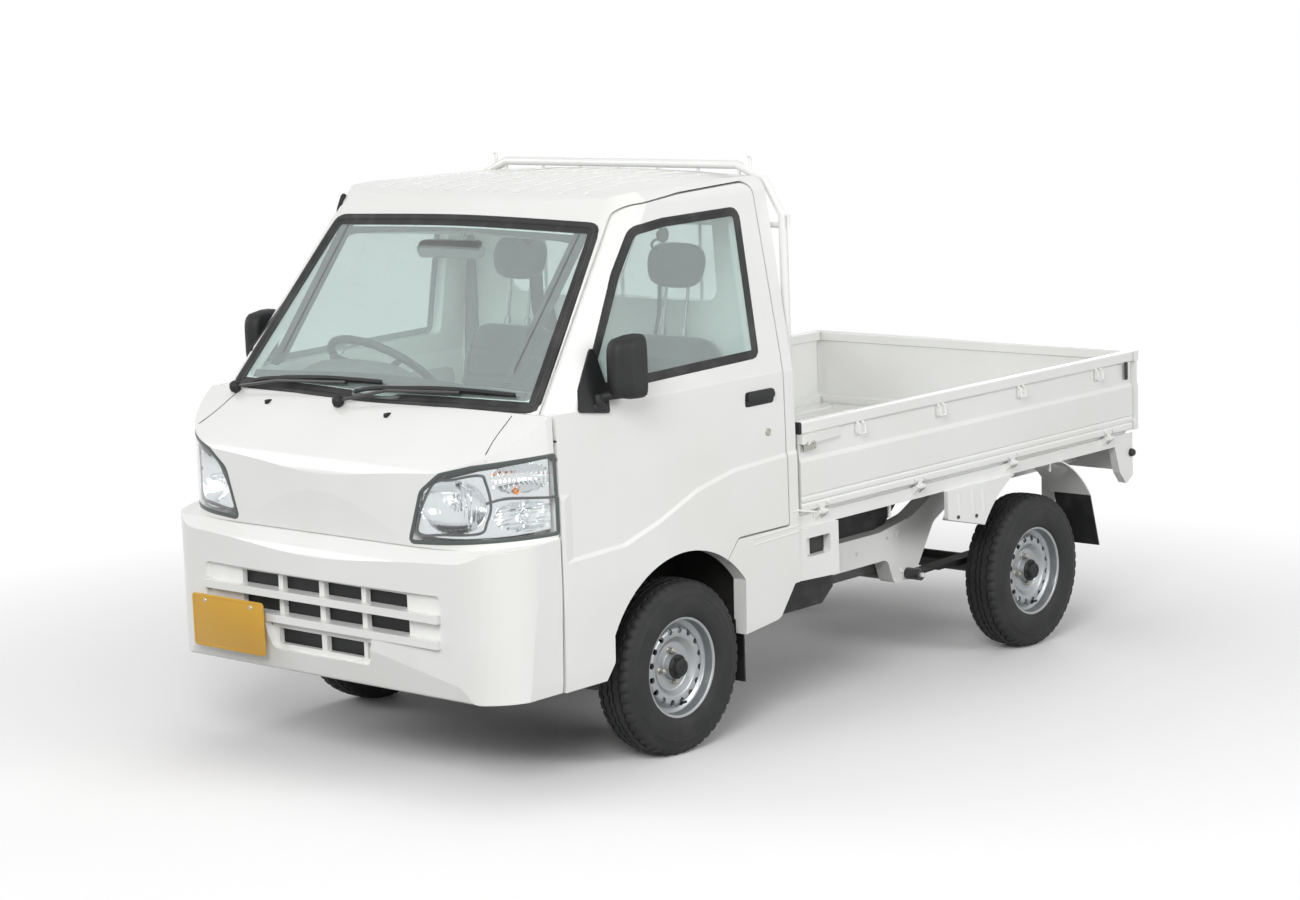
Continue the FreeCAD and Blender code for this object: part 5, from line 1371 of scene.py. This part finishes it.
def studio():
    """A white floor that rises behind, a pale sky and soft lamps."""
    bm = bmesh.new()
    profile = [(-FLOOR_HALF, 0.0), (RISE_FROM, 0.0)]
    for k in range(1, 13):
        a = math.pi / 2 * k / 12
        profile.append((RISE_FROM + BEND * math.sin(a), BEND - BEND * math.cos(a)))
    profile.append((RISE_FROM + BEND, WALL_TOP))
    rows = [[bm.verts.new((x, y, z)) for x in (-FLOOR_HALF, FLOOR_HALF)] for y, z in profile]
    for low, high in zip(rows, rows[1:]):
        bm.faces.new((low[0], low[1], high[1], high[0]))
    mesh = bpy.data.meshes.new("studio_floor")
    bm.to_mesh(mesh)
    bm.free()
    floor = bpy.data.objects.new("studio_floor", mesh)
    bpy.context.scene.collection.objects.link(floor)
    material, tree, shader = new_finish("white_paper", "#FFFFFF", Roughness=0.9)
    mesh.materials.append(material)
    seen = seen_rays(tree)
    blend_colours(tree, shader, seen, FLOOR_BOUNCE, "#FFFFFF")
    where = node(tree, "TexCoord").outputs["Object"]
    off = node(tree, "VectorMath", {0: where}, operation="LENGTH").outputs["Value"]
    far = stretch_range(tree, off, SHADOW_FADES, SHADOW_ENDS, 0.0, 1.0)
    glow = node(tree, "Math", {0: far, 1: seen}, operation="MULTIPLY")
    lit = node(tree, "Emission", {"Color": linear("#FFFFFF"), "Strength": 1.0})
    mixed = node(tree, "MixShader", {0: glow.outputs["Value"], 1: shader.outputs["BSDF"],
                                     2: lit.outputs["Emission"]})
    tree.links.new(mixed.outputs["Shader"], tree.nodes["Material Output"].inputs["Surface"])

    world = bpy.data.worlds.new("studio")
    bpy.context.scene.world = world
    world.use_nodes = True
    tree = world.node_tree
    seen = seen_rays(tree)
    strength = stretch_range(tree, seen, 0.0, 1.0, SKY_LEVEL, 1.0)
    tree.links.new(strength, tree.nodes["Background"].inputs["Strength"])
    tree.nodes["Background"].inputs["Color"].default_value = linear("#FFFFFF")

    for name, place, aim, size, power in (("key_lamp", (4.5, -7.5, 5.0), (0, 0, 0.8), 4.0, 430.0),
                                          ("side_lamp", (8.0, 1.0, 3.2), (0, 0.3, 0.8), 3.5, 220.0),
                                          ("fill_lamp", (-6.5, -5.0, 4.0), (0, -0.5, 0.8), 4.0, 130.0),
                                          ("back_lamp", (-3.0, 8.5, 4.0), (0, 0.5, 0.8), 4.0, 150.0),
                                          ("top_lamp", (0.0, 0.5, 7.5), (0, 0, 0.5), 5.0, 25.0)):
        data = bpy.data.lights.new(name, "AREA")
        data.shape = "DISK"
        data.size = size
        data.energy = power
        lamp = bpy.data.objects.new(name, data)
        lamp.location = place
        lamp.rotation_mode = "QUATERNION"
        lamp.rotation_quaternion = (Vector(aim) - Vector(place)).to_track_quat("-Z", "Y")
        bpy.context.scene.collection.objects.link(lamp)


# The photograph's camera, fitted to the truck's known size: its place on the level truck in
# millimetres, its yaw, pitch and roll in degrees, and its lens and shift in the frame's pixels.
CAMERA_AT = (6414, -7375, 2312)
CAMERA_TURN = (41.34, 8.89, -2.05)
FRAME_WIDTH = 1300
LENS_PIXELS = 2926.9
SHIFT_PIXELS = (-15.6, -6.8)
SENSOR = 36.0


def viewpoint():
    """The camera stands where the photograph was taken from."""
    yaw, pitch, roll = (math.radians(a) for a in CAMERA_TURN)
    ahead = Vector((-math.sin(yaw) * math.cos(pitch), math.cos(yaw) * math.cos(pitch), -math.sin(pitch)))
    level = Vector((math.cos(yaw), math.sin(yaw), 0))
    up = level.cross(ahead)
    right = level * math.cos(roll) + up * math.sin(roll)
    up = up * math.cos(roll) - level * math.sin(roll)
    turn = TIP.to_3x3()
    right, up, ahead = turn @ right, turn @ up, turn @ ahead
    data = bpy.data.cameras.new("camera")
    data.sensor_width = SENSOR
    data.lens = LENS_PIXELS / FRAME_WIDTH * SENSOR
    data.shift_x, data.shift_y = (shift / FRAME_WIDTH for shift in SHIFT_PIXELS)
    data.clip_end = 100.0
    camera = bpy.data.objects.new("camera", data)
    pose = Matrix((right, up, -ahead)).transposed().to_4x4()
    pose.translation = placed(CAMERA_AT)
    camera.matrix_world = pose
    bpy.context.scene.collection.objects.link(camera)
    bpy.context.scene.camera = camera


studio()
viewpoint()
bpy.context.scene.view_settings.view_transform = "Standard"
